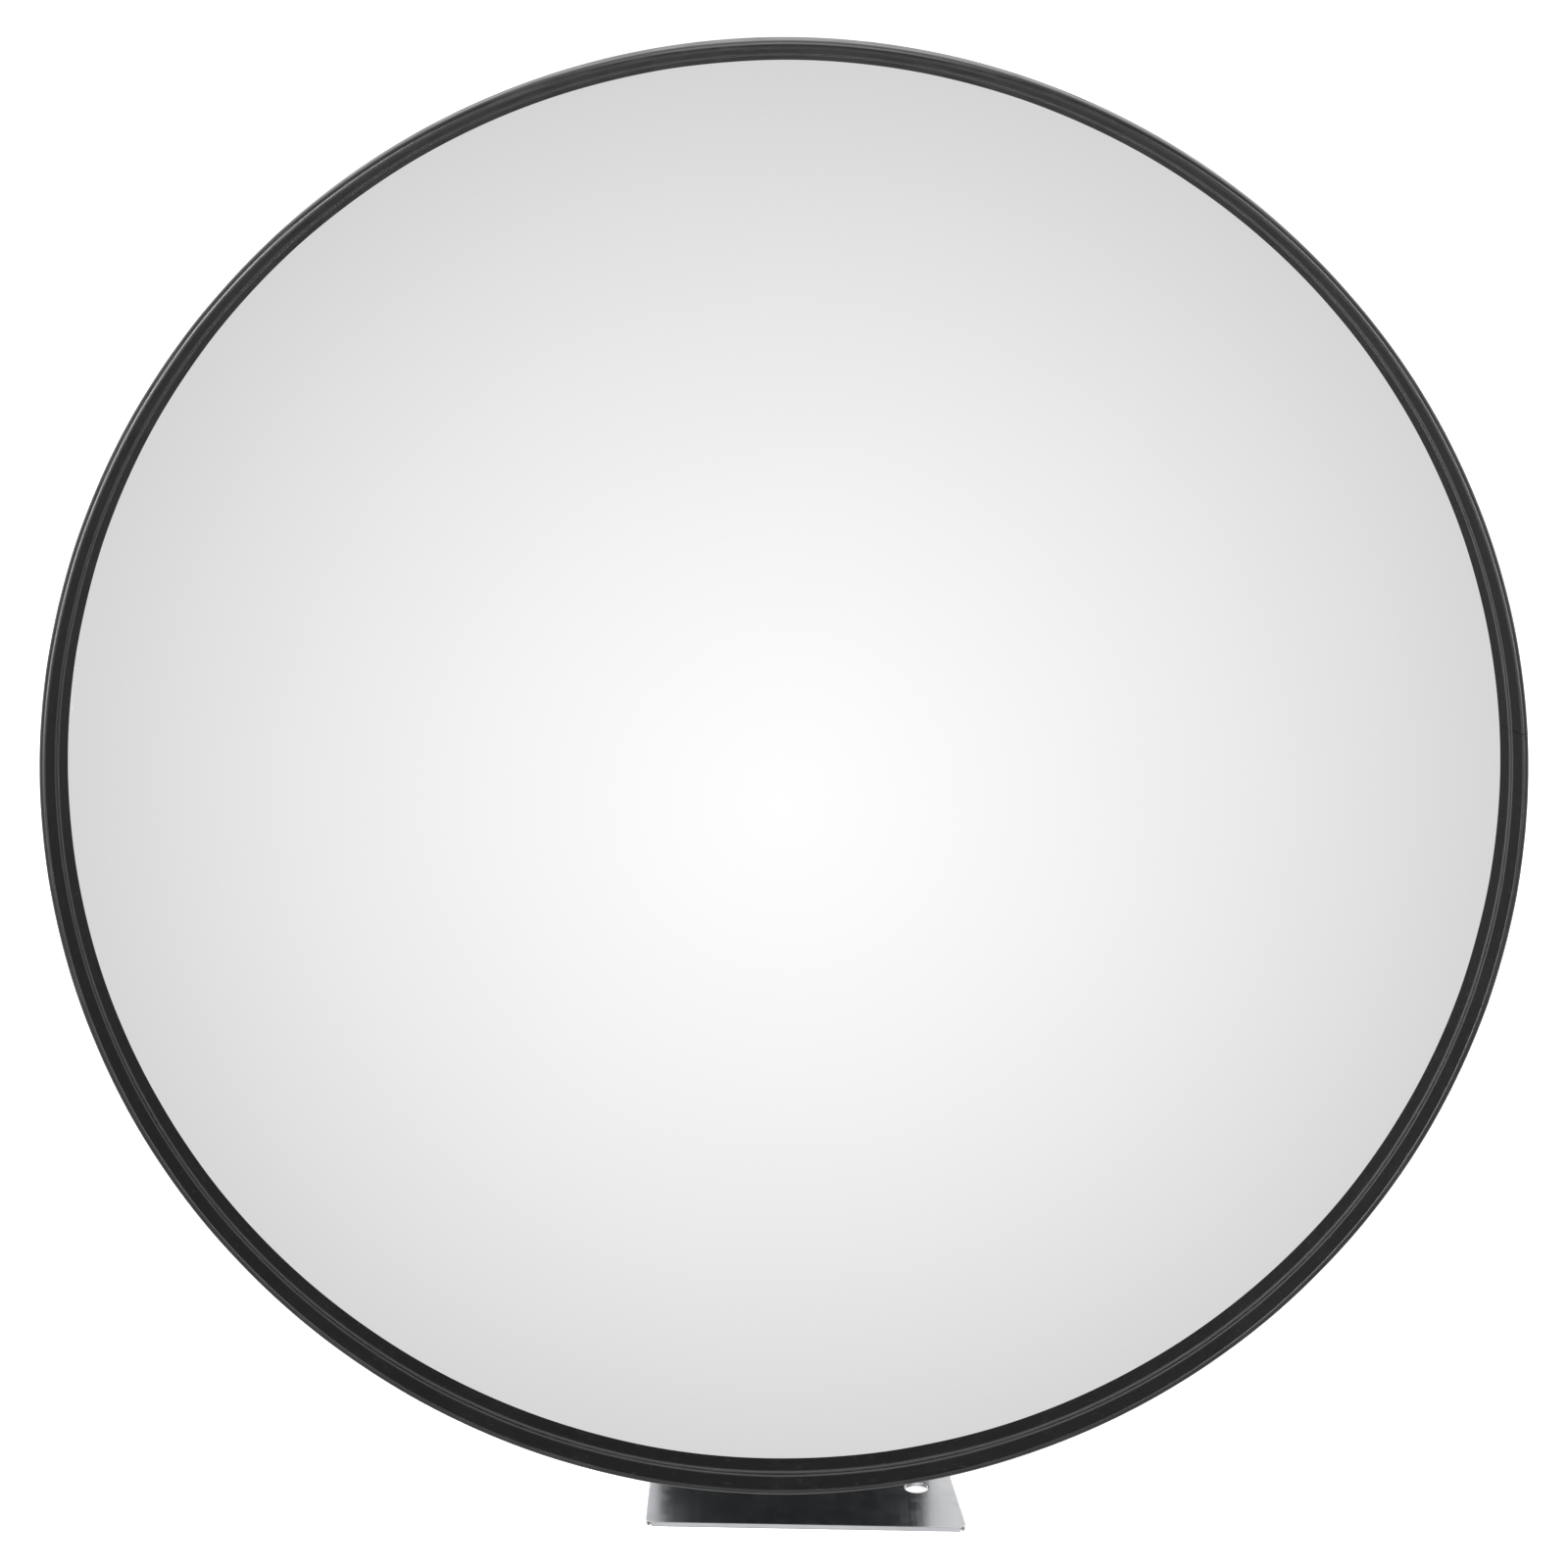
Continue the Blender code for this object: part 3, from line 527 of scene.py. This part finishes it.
def folded_sheet(outline, holes, thickness, start, heading, moves, where):
    """A flat blank with rounded edges, outline in (distance along, width), folded along its moves."""
    bm = bmesh.new()
    loops = [outline, *holes]
    rows = sheet_rows(thickness)
    rings = []
    for loop in loops:
        made = []
        for inward, height in rows:
            made.append([bm.verts.new((p.x, p.y, height)) for p in inset(loop, inward)])
        rings.append(made)
        for first, second in zip(made, made[1:]):
            for i in range(len(loop)):
                j = (i + 1) % len(loop)
                bm.faces.new((first[i], first[j], second[j], second[i]))
    for row in (0, -1):
        flat = [made[row] for made in rings]
        listed = [vert for ring in flat for vert in ring]
        for triangle in geometry.tessellate_polygon([[v.co.xy.to_3d() for v in ring] for ring in flat]):
            bm.faces.new([listed[i] for i in triangle])
    reached = 0.0
    for length, bend in moves:
        steps = 10 if bend else 1
        for step in range(steps + 1):
            plane = (reached + length * step / steps, 0, 0)
            everything = bm.verts[:] + bm.edges[:] + bm.faces[:]
            bmesh.ops.bisect_plane(bm, geom=everything, dist=1e-7, plane_co=plane, plane_no=(1, 0, 0))
        reached += length
    for vert in bm.verts:
        point, normal = follow(start, heading, moves, vert.co.x)
        p, q = point + normal * vert.co.z
        vert.co = where @ Vector((p, q, vert.co.y))
    return bm


def drilled(obj, holes, radius, where):
    """Cuts round holes along the local Y of a place, at (x, z)."""
    cutters = []
    for x, z in holes:
        bm = bmesh.new()
        bmesh.ops.create_cone(bm, cap_ends=True, segments=48, radius1=radius, radius2=radius, depth=0.2)
        mesh = bpy.data.meshes.new("drill")
        bm.to_mesh(mesh)
        bm.free()
        cutter = bpy.data.objects.new("drill", mesh)
        bpy.context.scene.collection.objects.link(cutter)
        cutter.matrix_world = where @ Matrix.Translation((x, 0, z)) @ BACKWARDS
        boolean = obj.modifiers.new("hole", "BOOLEAN")
        boolean.object = cutter
        cutters.append(cutter)
    bpy.context.view_layer.update()
    graph = bpy.context.evaluated_depsgraph_get()
    old = obj.data
    obj.data = bpy.data.meshes.new_from_object(obj.evaluated_get(graph))
    obj.data.name = old.name
    for modifier in [m for m in obj.modifiers if m.type == "BOOLEAN"]:
        obj.modifiers.remove(modifier)
    for cutter in cutters:
        bpy.data.objects.remove(cutter)


def ripple(angle, seed, size, waves=6.0):
    """A small smooth error round the head, the same each run."""
    spot = Vector((waves * cos(angle), waves * sin(angle), seed))
    return size * noise.noise(spot)


# Mirror head


def make_dome():
    edge = asin(DOME_RADIUS / DOME_CURVATURE)
    centre = DOME_EDGE_DEPTH + DOME_CURVATURE * cos(edge)

    def cap(radius, rings):
        angles = [edge * step / rings for step in range(rings + 1)]
        return [(radius * sin(a), radius * cos(a) - centre) for a in angles]

    rows = cap(DOME_CURVATURE, 72) + cap(DOME_CURVATURE - DOME_THICKNESS, 12)[::-1]
    bm = turned(rows, FACE, 288)
    piece("silvered_dome", bm, "head", "silvered_acrylic", ["mirror_dome"])


def trim_section():
    """The rubber section from its lip over the rounded nose and back under the shell's flange."""
    inside = HEAD_RADIUS - TRIM_WALL
    crest = HEAD_RADIUS - TRIM_NOSE
    at_lip, at_crest, at_back, at_leg = TRIM_CORNERS
    wide, deep = TRIM_ROUNDING
    turns = [pi / 2 * step / 10 for step in range(11)]
    nose = [(HEAD_RADIUS - wide * (1 - sin(a)), deep * (1 - cos(a)), 0) for a in turns]
    return rounded(
        [
            (LIP_RADIUS, LIP_DEPTH, at_lip),
            (crest, 0, at_crest),
            *nose,
            (HEAD_RADIUS, TRIM_DEPTH, at_back),
            (TRIM_LEG_RADIUS, TRIM_DEPTH, at_leg),
            (TRIM_LEG_RADIUS, TRIM_DEPTH - TRIM_WALL, at_leg),
            (inside, TRIM_DEPTH - TRIM_WALL, 0),
            (inside, DOME_EDGE_DEPTH - HOLE_GAP, 0),
        ]
    )


def make_trim():
    """The rubber section round the head, cut to length, its ends butted on the right. The slope down
    to the lip takes a darker, less shiny copy of the rubber, which paints the shade there."""
    rows = []
    for radius, depth in trim_section():
        loose = 1 - min(1, max(0, (depth - LIP_DEPTH) / TRIM_RIPPLE_FADE))

        def wavy(angle, radius=radius, loose=loose):
            return radius - abs(ripple(angle, 3.1, TRIM_RIPPLE_IN)) * loose

        def sunk(angle, depth=depth, loose=loose):
            return -depth - abs(ripple(angle, 9.7, TRIM_RIPPLE_BACK, 3.0)) * loose

        rows.append((wavy, sunk))
    gap = TRIM_JOINT / HEAD_RADIUS
    joint = asin(TRIM_JOINT_HEIGHT / HEAD_RADIUS)
    bm = turned(rows, FACE, 720, 2 * pi - gap, joint + gap)
    along = bm.verts.layers.float_vector["along"]
    # Faces on the slope take the second material, the darker copy that paints the shade there
    for face in bm.faces:
        face.material_index = int(min(vert[along].y for vert in face.verts) < LIP_DEPTH / 2)
    trim = piece("rubber_trim", bm, "head", "black_rubber", ["edge_trim"])
    trim.data.materials.append(MATERIALS["dull_rubber"])


def make_shell():
    inner_1, inner_2, outer_1, outer_2 = SHELL_BEAD
    flat, bead = SHELL_FLAT_DEPTH, SHELL_FLAT_DEPTH - SHELL_BEAD_HEIGHT
    boss = flat + SHELL_BOSS_HEIGHT
    boss_foot = SHELL_BOSS_RADIUS + SHELL_DRAFT
    wall = SHELL_THICKNESS
    wider = wall * tan(pi / 8)
    front = [
        (0, boss, 0),
        (SHELL_BOSS_RADIUS, boss, SHELL_CORNER),
        (boss_foot, flat, SHELL_CORNER),
        (inner_1, flat, SHELL_CORNER),
        (inner_2, bead, SHELL_CORNER),
        (outer_1, bead, SHELL_CORNER),
        (outer_2, flat, SHELL_CORNER),
        (SHELL_FLAT_RADIUS, flat, 4 * MM),
        (SHELL_FLANGE_RADIUS, SHELL_FLANGE_DEPTH, SHELL_CORNER),
        (DOME_RADIUS, SHELL_FLANGE_DEPTH, 0),
        (DOME_RADIUS, SHELL_FLANGE_DEPTH + wall, 0),
    ]
    rear = [
        (SHELL_FLANGE_RADIUS + 2 * wider, SHELL_FLANGE_DEPTH + wall, 1.2 * MM),
        (SHELL_FLAT_RADIUS + 2 * wider, flat + wall, 5 * MM),
        (outer_2, flat + wall, SHELL_CORNER),
        (outer_1, bead + wall, SHELL_CORNER),
        (inner_2, bead + wall, SHELL_CORNER),
        (inner_1, flat + wall, SHELL_CORNER),
        (boss_foot + wider, flat + wall, 2 * MM),
        (SHELL_BOSS_RADIUS + wider, boss + wall, 2 * MM),
        (0, boss + wall, 0),
    ]
    rows = [(radius, -depth) for radius, depth in rounded(front + rear, 5)]
    bm = turned(rows, FACE, 192)
    shell = piece("moulded_shell", bm, "head", "black_shell_plastic", ["back_shell"])
    drilled(shell, PAD_BOLTS, M6[0] + HOLE_GAP, HEAD)


# Folded sheet parts


def make_mounting_bracket():
    """Blank measured from the base leg's foremost line, then up the upright leg."""
    low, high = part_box("mounting_bracket")
    bend = BRACKET_BEND + BRACKET_SHEET
    middle = BRACKET_BEND + BRACKET_SHEET / 2
    leg = high.y - low.y - bend
    fold = middle * pi / 2
    rise = leg + fold - bend
    top_half = BRACKET_TOP_WIDTH / 2
    taper_low, taper_high = BRACKET_TAPER
    (left_x, left_y), (right_x, right_y) = LEG_FRONT_LEFT, LEG_FRONT_RIGHT
    outline = rounded(
        [
            (left_y - low.y, left_x, BRACKET_CORNER),
            (leg, UPRIGHT_LEFT, 1 * MM),
            (rise + taper_low, UPRIGHT_LEFT, BRACKET_FILLET),
            (rise + taper_high, -top_half, BRACKET_FILLET),
            (rise + high.z, -top_half, BRACKET_TOP_CORNER),
            (rise + high.z, top_half, BRACKET_TOP_CORNER),
            (rise + taper_high, top_half, BRACKET_FILLET),
            (rise + taper_low, UPRIGHT_RIGHT, BRACKET_FILLET),
            (leg, UPRIGHT_RIGHT, 1 * MM),
            (right_y - low.y, right_x, BRACKET_CORNER),
        ],
        12,
    )
    holes = [circle(y - low.y, x, SCREW_HOLE_RADIUS) for x, y in SCREW_HOLES]
    holes.append(circle(rise + SWIVEL_POINT.z, 0, M8[0] + HOLE_GAP))
    to_world = Matrix(((0, 0, 1, 0), (1, 0, 0, 0), (0, 1, 0, 0), (0, 0, 0, 1)))
    moves = [(leg, 0), (fold, pi / 2), (high.z, 0)]
    start = (low.y, BRACKET_SHEET / 2)
    bm = folded_sheet(outline[::-1], holes, BRACKET_SHEET, start, 0, moves, to_world)
    piece("angle_bracket", bm, "bracket", "galvanised_sheet", ["mounting_bracket"])


def eared_outline(pivot, flare, half_height, total):
    """Blank of a U-shaped sheet with round ears at both ends, along its middle line."""
    ear = EAR_RADIUS
    round_end = ear * 0.99
    flare_start, flare_end = pivot + flare[0], pivot + flare[1]
    inner, outer = FLARE_CORNERS
    near = [
        (flare_end, -half_height, outer),
        (flare_start, -ear, inner),
        (0, -ear, round_end),
        (0, ear, round_end),
        (flare_start, ear, inner),
        (flare_end, half_height, outer),
    ]
    far = [(total - x, -y, r) for x, y, r in near]
    return rounded([(x, y, r) for x, y, r in (near + far)][::-1], 12)


def make_yoke():
    low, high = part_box("swivel_yoke")
    bend = YOKE_BEND + YOKE_SHEET
    middle = YOKE_BEND + YOKE_SHEET / 2
    ear = high.y - low.y - bend
    fold = middle * pi / 2
    web = high.x - low.x - 2 * bend
    total = 2 * ear + 2 * fold + web
    pivot = TILT_POINT.y - low.y
    outline = eared_outline(pivot, YOKE_FLARE, high.z - SWIVEL_POINT.z, total)
    bolt = circle(total / 2, 0, M8[0] + HOLE_GAP)
    pivots = [circle(x, 0, M6[0] + HOLE_GAP) for x in (pivot, total - pivot)]
    moves = [(ear, 0), (fold, -pi / 2), (web, 0), (fold, -pi / 2), (ear, 0)]
    start = (low.x + YOKE_SHEET / 2, low.y)
    where = Matrix.Translation((0, 0, SWIVEL_POINT.z))
    bm = folded_sheet(outline, [bolt, *pivots], YOKE_SHEET, start, pi / 2, moves, where)
    piece("pivot_yoke", bm, "yoke", "galvanised_sheet", ["swivel_yoke"])


def make_tilt_bracket():
    bend = TILT_BEND + TILT_SHEET
    middle = TILT_BEND + TILT_SHEET / 2
    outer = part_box("tilt_bracket")[1].x
    front = TILT_PAD_DEPTH - CREST_AHEAD
    ear = EAR_RADIUS - front - bend
    fold = middle * pi / 2
    pad = 2 * (outer - bend)
    total = 2 * ear + 2 * fold + pad
    outline = eared_outline(EAR_RADIUS, TILT_FLARE, TILT_PAD_HALF_HEIGHT, total)
    holes = [circle(total / 2 + x, z, M6[0] + HOLE_GAP) for x, z in PAD_BOLTS]
    holes += [circle(x, 0, M6[0] + HOLE_GAP) for x in (EAR_RADIUS, total - EAR_RADIUS)]
    moves = [(ear, 0), (fold, pi / 2), (pad, 0), (fold, pi / 2), (ear, 0)]
    start = (TILT_SHEET / 2 - outer, EAR_RADIUS)
    bm = folded_sheet(outline, holes, TILT_SHEET, start, -pi / 2, moves, HEAD)
    piece("head_bracket", bm, "head", "galvanised_sheet", ["tilt_bracket"])


# Fasteners. Each is made about local Z, which runs from a bolt's head to its end.


def seat(node, direction):
    """Where a CAD fastener sits: the place at its low end with Z along it, its length and radius."""
    turn = direction.to_track_quat("Z", "X").to_matrix().to_4x4()
    back = turn.inverted()
    points = [back @ vert.co for vert in frame["nodes"][node].data.vertices]
    low = Vector([min(point[i] for point in points) for i in range(3)])
    high = Vector([max(point[i] for point in points) for i in range(3)])
    middle = (low + high) / 2
    place = turn @ Matrix.Translation((middle.x, middle.y, low.z))
    return place, high.z - low.z, (high.x - low.x) / 2


def hexagon(across):
    """Radius round a hexagon whose corners are a little blunt."""

    def radius(angle):
        off = (angle + pi / 6) % (pi / 3) - pi / 6
        return min(across / 2 / cos(off), across * HEX_CORNER)

    return radius


def chamfered(across, level, way):
    """Height of the 30 degree chamfer's cone where it meets the hexagon's faces."""
    radius = hexagon(across)

    def height(angle):
        return level + way * max(0, radius(angle) - HEX_CHAMFER * across) * tan(pi / 6)

    return height


def thread_rows(radius, low, high, pitch):
    """A right-handed thread that deepens over its first turn."""
    rows = []
    per_turn = 8
    count = int((high - low) / pitch * per_turn)
    for i in range(count + 1):
        height = low + (high - low) * i / count
        depth = 0.6 * pitch * min(1, i / per_turn)

        def crest(angle, height=height, depth=depth):
            phase = (height / pitch - angle / (2 * pi)) % 1
            return radius - depth * abs(2 * phase - 1)

        rows.append((crest, height))
    return rows


def make_bolt(node, size, direction, body):
    radius, across, head, _, pitch = size
    where, length, _ = seat(node, direction)
    corner = hexagon(across)
    dish, dish_edge = HEX_DISH
    rows = [
        (0, DISH_DEPTH),
        (dish * across, DISH_DEPTH),
        (dish_edge * across, 0),
        (HEX_CHAMFER * across, 0),
        (corner, chamfered(across, 0, 1)),
        (corner, head - 0.1 * MM),
        (HEX_UNDERSIDE * across, head),
        (radius + 0.25 * MM, head),
        (radius, head + 0.3 * MM),
    ]
    rows += thread_rows(radius, length - THREAD_LENGTH, length - THREAD_TIP, pitch)
    rows += [(radius - 0.7 * pitch, length), (0, length)]
    bm = turned(rows, where, 72)
    piece("fine_" + node, bm, body, "plated_fastener", [node])


def make_nut(node, size, direction, body):
    radius, across, _, collar, _ = size
    where, height, _ = seat(node, direction)
    corner = hexagon(across)
    bore = radius + 0.1 * MM
    hex_top = height - collar
    ring = NUT_COLLAR * across
    lip = ring - 1.1 * MM
    nylon_top = height - 0.45 * MM
    rows = [
        (bore, 0.4 * MM),
        (bore + 0.4 * MM, 0),
        (HEX_CHAMFER * across, 0),
        (corner, chamfered(across, 0, 1)),
        (corner, chamfered(across, hex_top, -1)),
        (HEX_CHAMFER * across, hex_top),
        (ring + 0.15 * MM, hex_top + 0.1 * MM),
        (ring, hex_top + 0.3 * MM),
        (ring, height - 0.8 * MM),
        (ring - 0.15 * MM, height - 0.35 * MM),
        (ring - 0.5 * MM, height - 0.05 * MM),
        (ring - 0.8 * MM, height),
        (lip, height - 0.15 * MM),
        (lip, nylon_top),
        (lip, hex_top),
        (bore, hex_top),
    ]
    piece("fine_" + node, turned(rows, where, 72), body, "plated_fastener", [node])
    rows = [
        (radius + 0.02 * MM, hex_top + 0.1 * MM),
        (lip - 0.02 * MM, hex_top + 0.1 * MM),
        (lip - 0.02 * MM, nylon_top - 0.15 * MM),
        (lip - 0.2 * MM, nylon_top),
        (radius + 0.25 * MM, nylon_top),
        (radius + 0.02 * MM, nylon_top - 0.3 * MM),
    ]
    piece(node + "_insert", turned(rows, where, 48), body, "nylon_washer", [])


def make_washer(node, size, direction, body, slot="plated_fastener"):
    """A stamped washer: one face has rounded edges, the other a slight burr."""
    where, height, outer = seat(node, direction)
    inner = size[0] + HOLE_GAP
    soft = 0.25 * MM
    corners = [
        (inner, 0, 0.1 * MM),
        (outer, 0, 0.08 * MM),
        (outer, height, soft),
        (inner, height, soft),
    ]
    rows = [tuple(point) for point in rounded(corners, 3)]
    piece("fine_" + node, turned(rows, where, 72), body, slot, [node])


def make_spring_washer(node, size, direction, body):
    """One coil of square wire, its two ends sprung slightly apart."""
    where, height, outer = seat(node, direction)
    inner = size[0] + HOLE_GAP
    sprung = 0.18 * MM
    gap = 1.2 * MM / outer
    corners = [
        (inner, 0, 0.15 * MM),
        (outer, 0, 0.15 * MM),
        (outer, height - sprung, 0.15 * MM),
        (inner, height - sprung, 0.15 * MM),
    ]
    rows = []
    for radius, level in rounded(corners, 3):

        def coiled(angle, level=level):
            return level + sprung * angle / (2 * pi)

        rows.append((radius, coiled))
    bm = turned(rows, where, 72, 2 * pi - gap, gap)
    piece("fine_" + node, bm, body, "plated_fastener", [node])


def make_pad_fasteners():
    back = HEAD.to_3x3() @ Vector((0, 1, 0))
    for number in range(1, len(PAD_BOLTS) + 1):
        make_bolt(f"pad_bolt_{number}", M6, back, "head")
        make_washer(f"pad_washer_{number}", M6, back, "head")
        make_nut(f"pad_nut_{number}", M6, back, "head")


def make_tilt_pivots():
    for side, sign in (("left", -1), ("right", 1)):
        out = Vector((sign, 0, 0))
        make_bolt("tilt_bolt_" + side, M6, out, "yoke")
        make_washer("friction_washer_" + side, M6, out, "yoke", "nylon_washer")
        make_washer("tilt_washer_" + side, M6, out, "yoke")
        make_spring_washer("tilt_spring_washer_" + side, M6, out, "yoke")
        make_nut("tilt_nut_" + side, M6, out, "yoke")


def make_swivel_joint():
    back = Vector((0, 1, 0))
    make_bolt("swivel_bolt", M8, back, "bracket")
    make_washer("thrust_washer", M8, back, "bracket", "nylon_washer")
    make_washer("swivel_washer", M8, back, "bracket")
    make_spring_washer("swivel_spring_washer", M8, back, "bracket")
    make_nut("swivel_nut", M8, back, "bracket")


def finish_backing_plate():
    """Its CAD shape is right, and it is hidden in the head: it only takes a fine material."""
    plate = frame["nodes"]["backing_plate"]
    plate.data.materials.clear()
    plate.data.materials.append(MATERIALS["galvanised_sheet"])


# Studio

CAMERA_ELEVATION = radians(18.6)
CAMERA_DISTANCE = 1.5
CAMERA_FILL = 0.962
AIM_ABOVE = 2.6 * MM
# The wall's brightness over the angle from where the camera sees itself: 1 - a * angle - b * angle**2
FALLOFF = (0.298, 0.263)
DARKEST = 0.3
FRONT_LEVEL = 1.085
BACK_LEVEL = 0.95
CEILING_LEVEL = 0.12
FLOOR_GLOW = 0.62


def make_camera():
    """Looks down at the mirror's middle. The rim fills most of the frame's width."""
    back = Vector((0, -cos(CAMERA_ELEVATION), sin(CAMERA_ELEVATION)))
    data = bpy.data.cameras.new("camera")
    camera = bpy.data.objects.new("camera", data)
    bpy.context.scene.collection.objects.link(camera)
    turn = (-back).to_track_quat("-Z", "Y").to_matrix().to_4x4()
    aim = FACE.translation + turn.to_3x3() @ Vector((0, AIM_ABOVE, 0))
    camera.matrix_world = Matrix.Translation(aim + back * CAMERA_DISTANCE) @ turn
    seen = HEAD_RADIUS / sqrt(CAMERA_DISTANCE**2 - HEAD_RADIUS**2)
    data.sensor_width = 36
    data.lens = data.sensor_width * CAMERA_FILL / (2 * seen)
    data.clip_start = 0.01
    bpy.context.scene.camera = camera


def make_world():
    """A white cyclorama, brightest where the mirror's middle reflects it and falling off evenly all
    round, with a darker ceiling. The camera itself sees plain white."""
    world = bpy.data.worlds.new("studio")
    bpy.context.scene.world = world
    world.use_nodes = True
    tree = world.node_tree
    direction = tree.nodes.new("ShaderNodeTexCoord").outputs["Generated"]
    dot = tree.nodes.new("ShaderNodeVectorMath")
    dot.operation = "DOT_PRODUCT"
    link(tree, direction, dot.inputs[0])
    mirror_normal = FACE.to_3x3() @ Vector((0, 0, 1))
    towards = bpy.context.scene.camera.matrix_world.translation - FACE.translation
    towards.normalize()
    reflected = 2 * mirror_normal.dot(towards) * mirror_normal - towards
    dot.inputs[1].default_value = reflected.normalized()
    angle = combine(tree, "ARCCOSINE", dot.outputs["Value"], 0)
    straight = combine(tree, "MULTIPLY", angle, FALLOFF[0])
    curved = combine(tree, "MULTIPLY", combine(tree, "POWER", angle, 2), FALLOFF[1])
    falling = combine(tree, "SUBTRACT", 1.0, combine(tree, "ADD", straight, curved))
    front = combine(tree, "MULTIPLY", combine(tree, "MAXIMUM", falling, DARKEST), FRONT_LEVEL)
    axes = tree.nodes.new("ShaderNodeSeparateXYZ")
    link(tree, direction, axes.inputs["Vector"])
    behind = spread(tree, axes.outputs["Y"], 0.1, 0.5, 0, BACK_LEVEL)
    ceiling = spread(tree, axes.outputs["Z"], 0.6, 0.85, 1, CEILING_LEVEL)
    level = combine(tree, "MULTIPLY", combine(tree, "MAXIMUM", front, behind), ceiling)
    seen = tree.nodes.new("ShaderNodeLightPath").outputs["Is Camera Ray"]
    mixed = tree.nodes.new("ShaderNodeMix")
    link(tree, seen, mixed.inputs["Factor"])
    link(tree, level, mixed.inputs["A"])
    mixed.inputs["B"].default_value = 1.0
    tree.nodes["Background"].inputs["Color"].default_value = (1, 1, 1, 1)
    link(tree, mixed.outputs["Result"], tree.nodes["Background"].inputs["Strength"])


def make_floor():
    """A white sweep that glows a little, as a lit studio floor does in a high-key picture."""
    bm = bmesh.new()
    bmesh.ops.create_grid(bm, x_segments=8, y_segments=8, size=30)
    mesh = bpy.data.meshes.new("floor")
    bm.to_mesh(mesh)
    bm.free()
    floor = bpy.data.objects.new("floor", mesh)
    bpy.context.scene.collection.objects.link(floor)
    floor.visible_glossy = False
    paper = new_material("studio_floor", 0.9, 0.0, emission_strength=FLOOR_GLOW)
    paper.node_tree.nodes["Principled BSDF"].inputs["Emission Color"].default_value = (1, 1, 1, 1)
    tree = paper.node_tree
    tone = spread(tree, grain(tree, coordinates(tree), 3, 2), 0.3, 0.7, 0, 1)
    colour = blend(tree, tone, (0.9, 0.9, 0.9), (0.92, 0.92, 0.92))
    mesh.materials.append(finish_shader(paper, colour))


def softbox(name, place, width, height, power):
    """A rectangular area light that looks at the mirror's middle."""
    data = bpy.data.lights.new(name, "AREA")
    data.shape = "RECTANGLE"
    data.size = width
    data.size_y = height
    data.energy = power
    light = bpy.data.objects.new(name, data)
    bpy.context.scene.collection.objects.link(light)
    light.location = place
    light.rotation_mode = "QUATERNION"
    light.rotation_quaternion = (FACE.translation - Vector(place)).to_track_quat("-Z", "Y")


def make_lights():
    softbox("left_softbox", (-1.6, -1.4, 1.0), 0.55, 1.9, 75)
    softbox("right_softbox", (1.65, -1.35, 1.0), 0.55, 1.9, 36)
    softbox("top_softbox", (0.0, 0.3, 2.4), 1.4, 1.4, 22)


make_dome()
make_trim()
make_shell()
finish_backing_plate()
make_mounting_bracket()
make_yoke()
make_tilt_bracket()
make_pad_fasteners()
make_tilt_pivots()
make_swivel_joint()
make_camera()
make_world()
make_floor()
make_lights()
bpy.context.scene.view_settings.view_transform = "Standard"
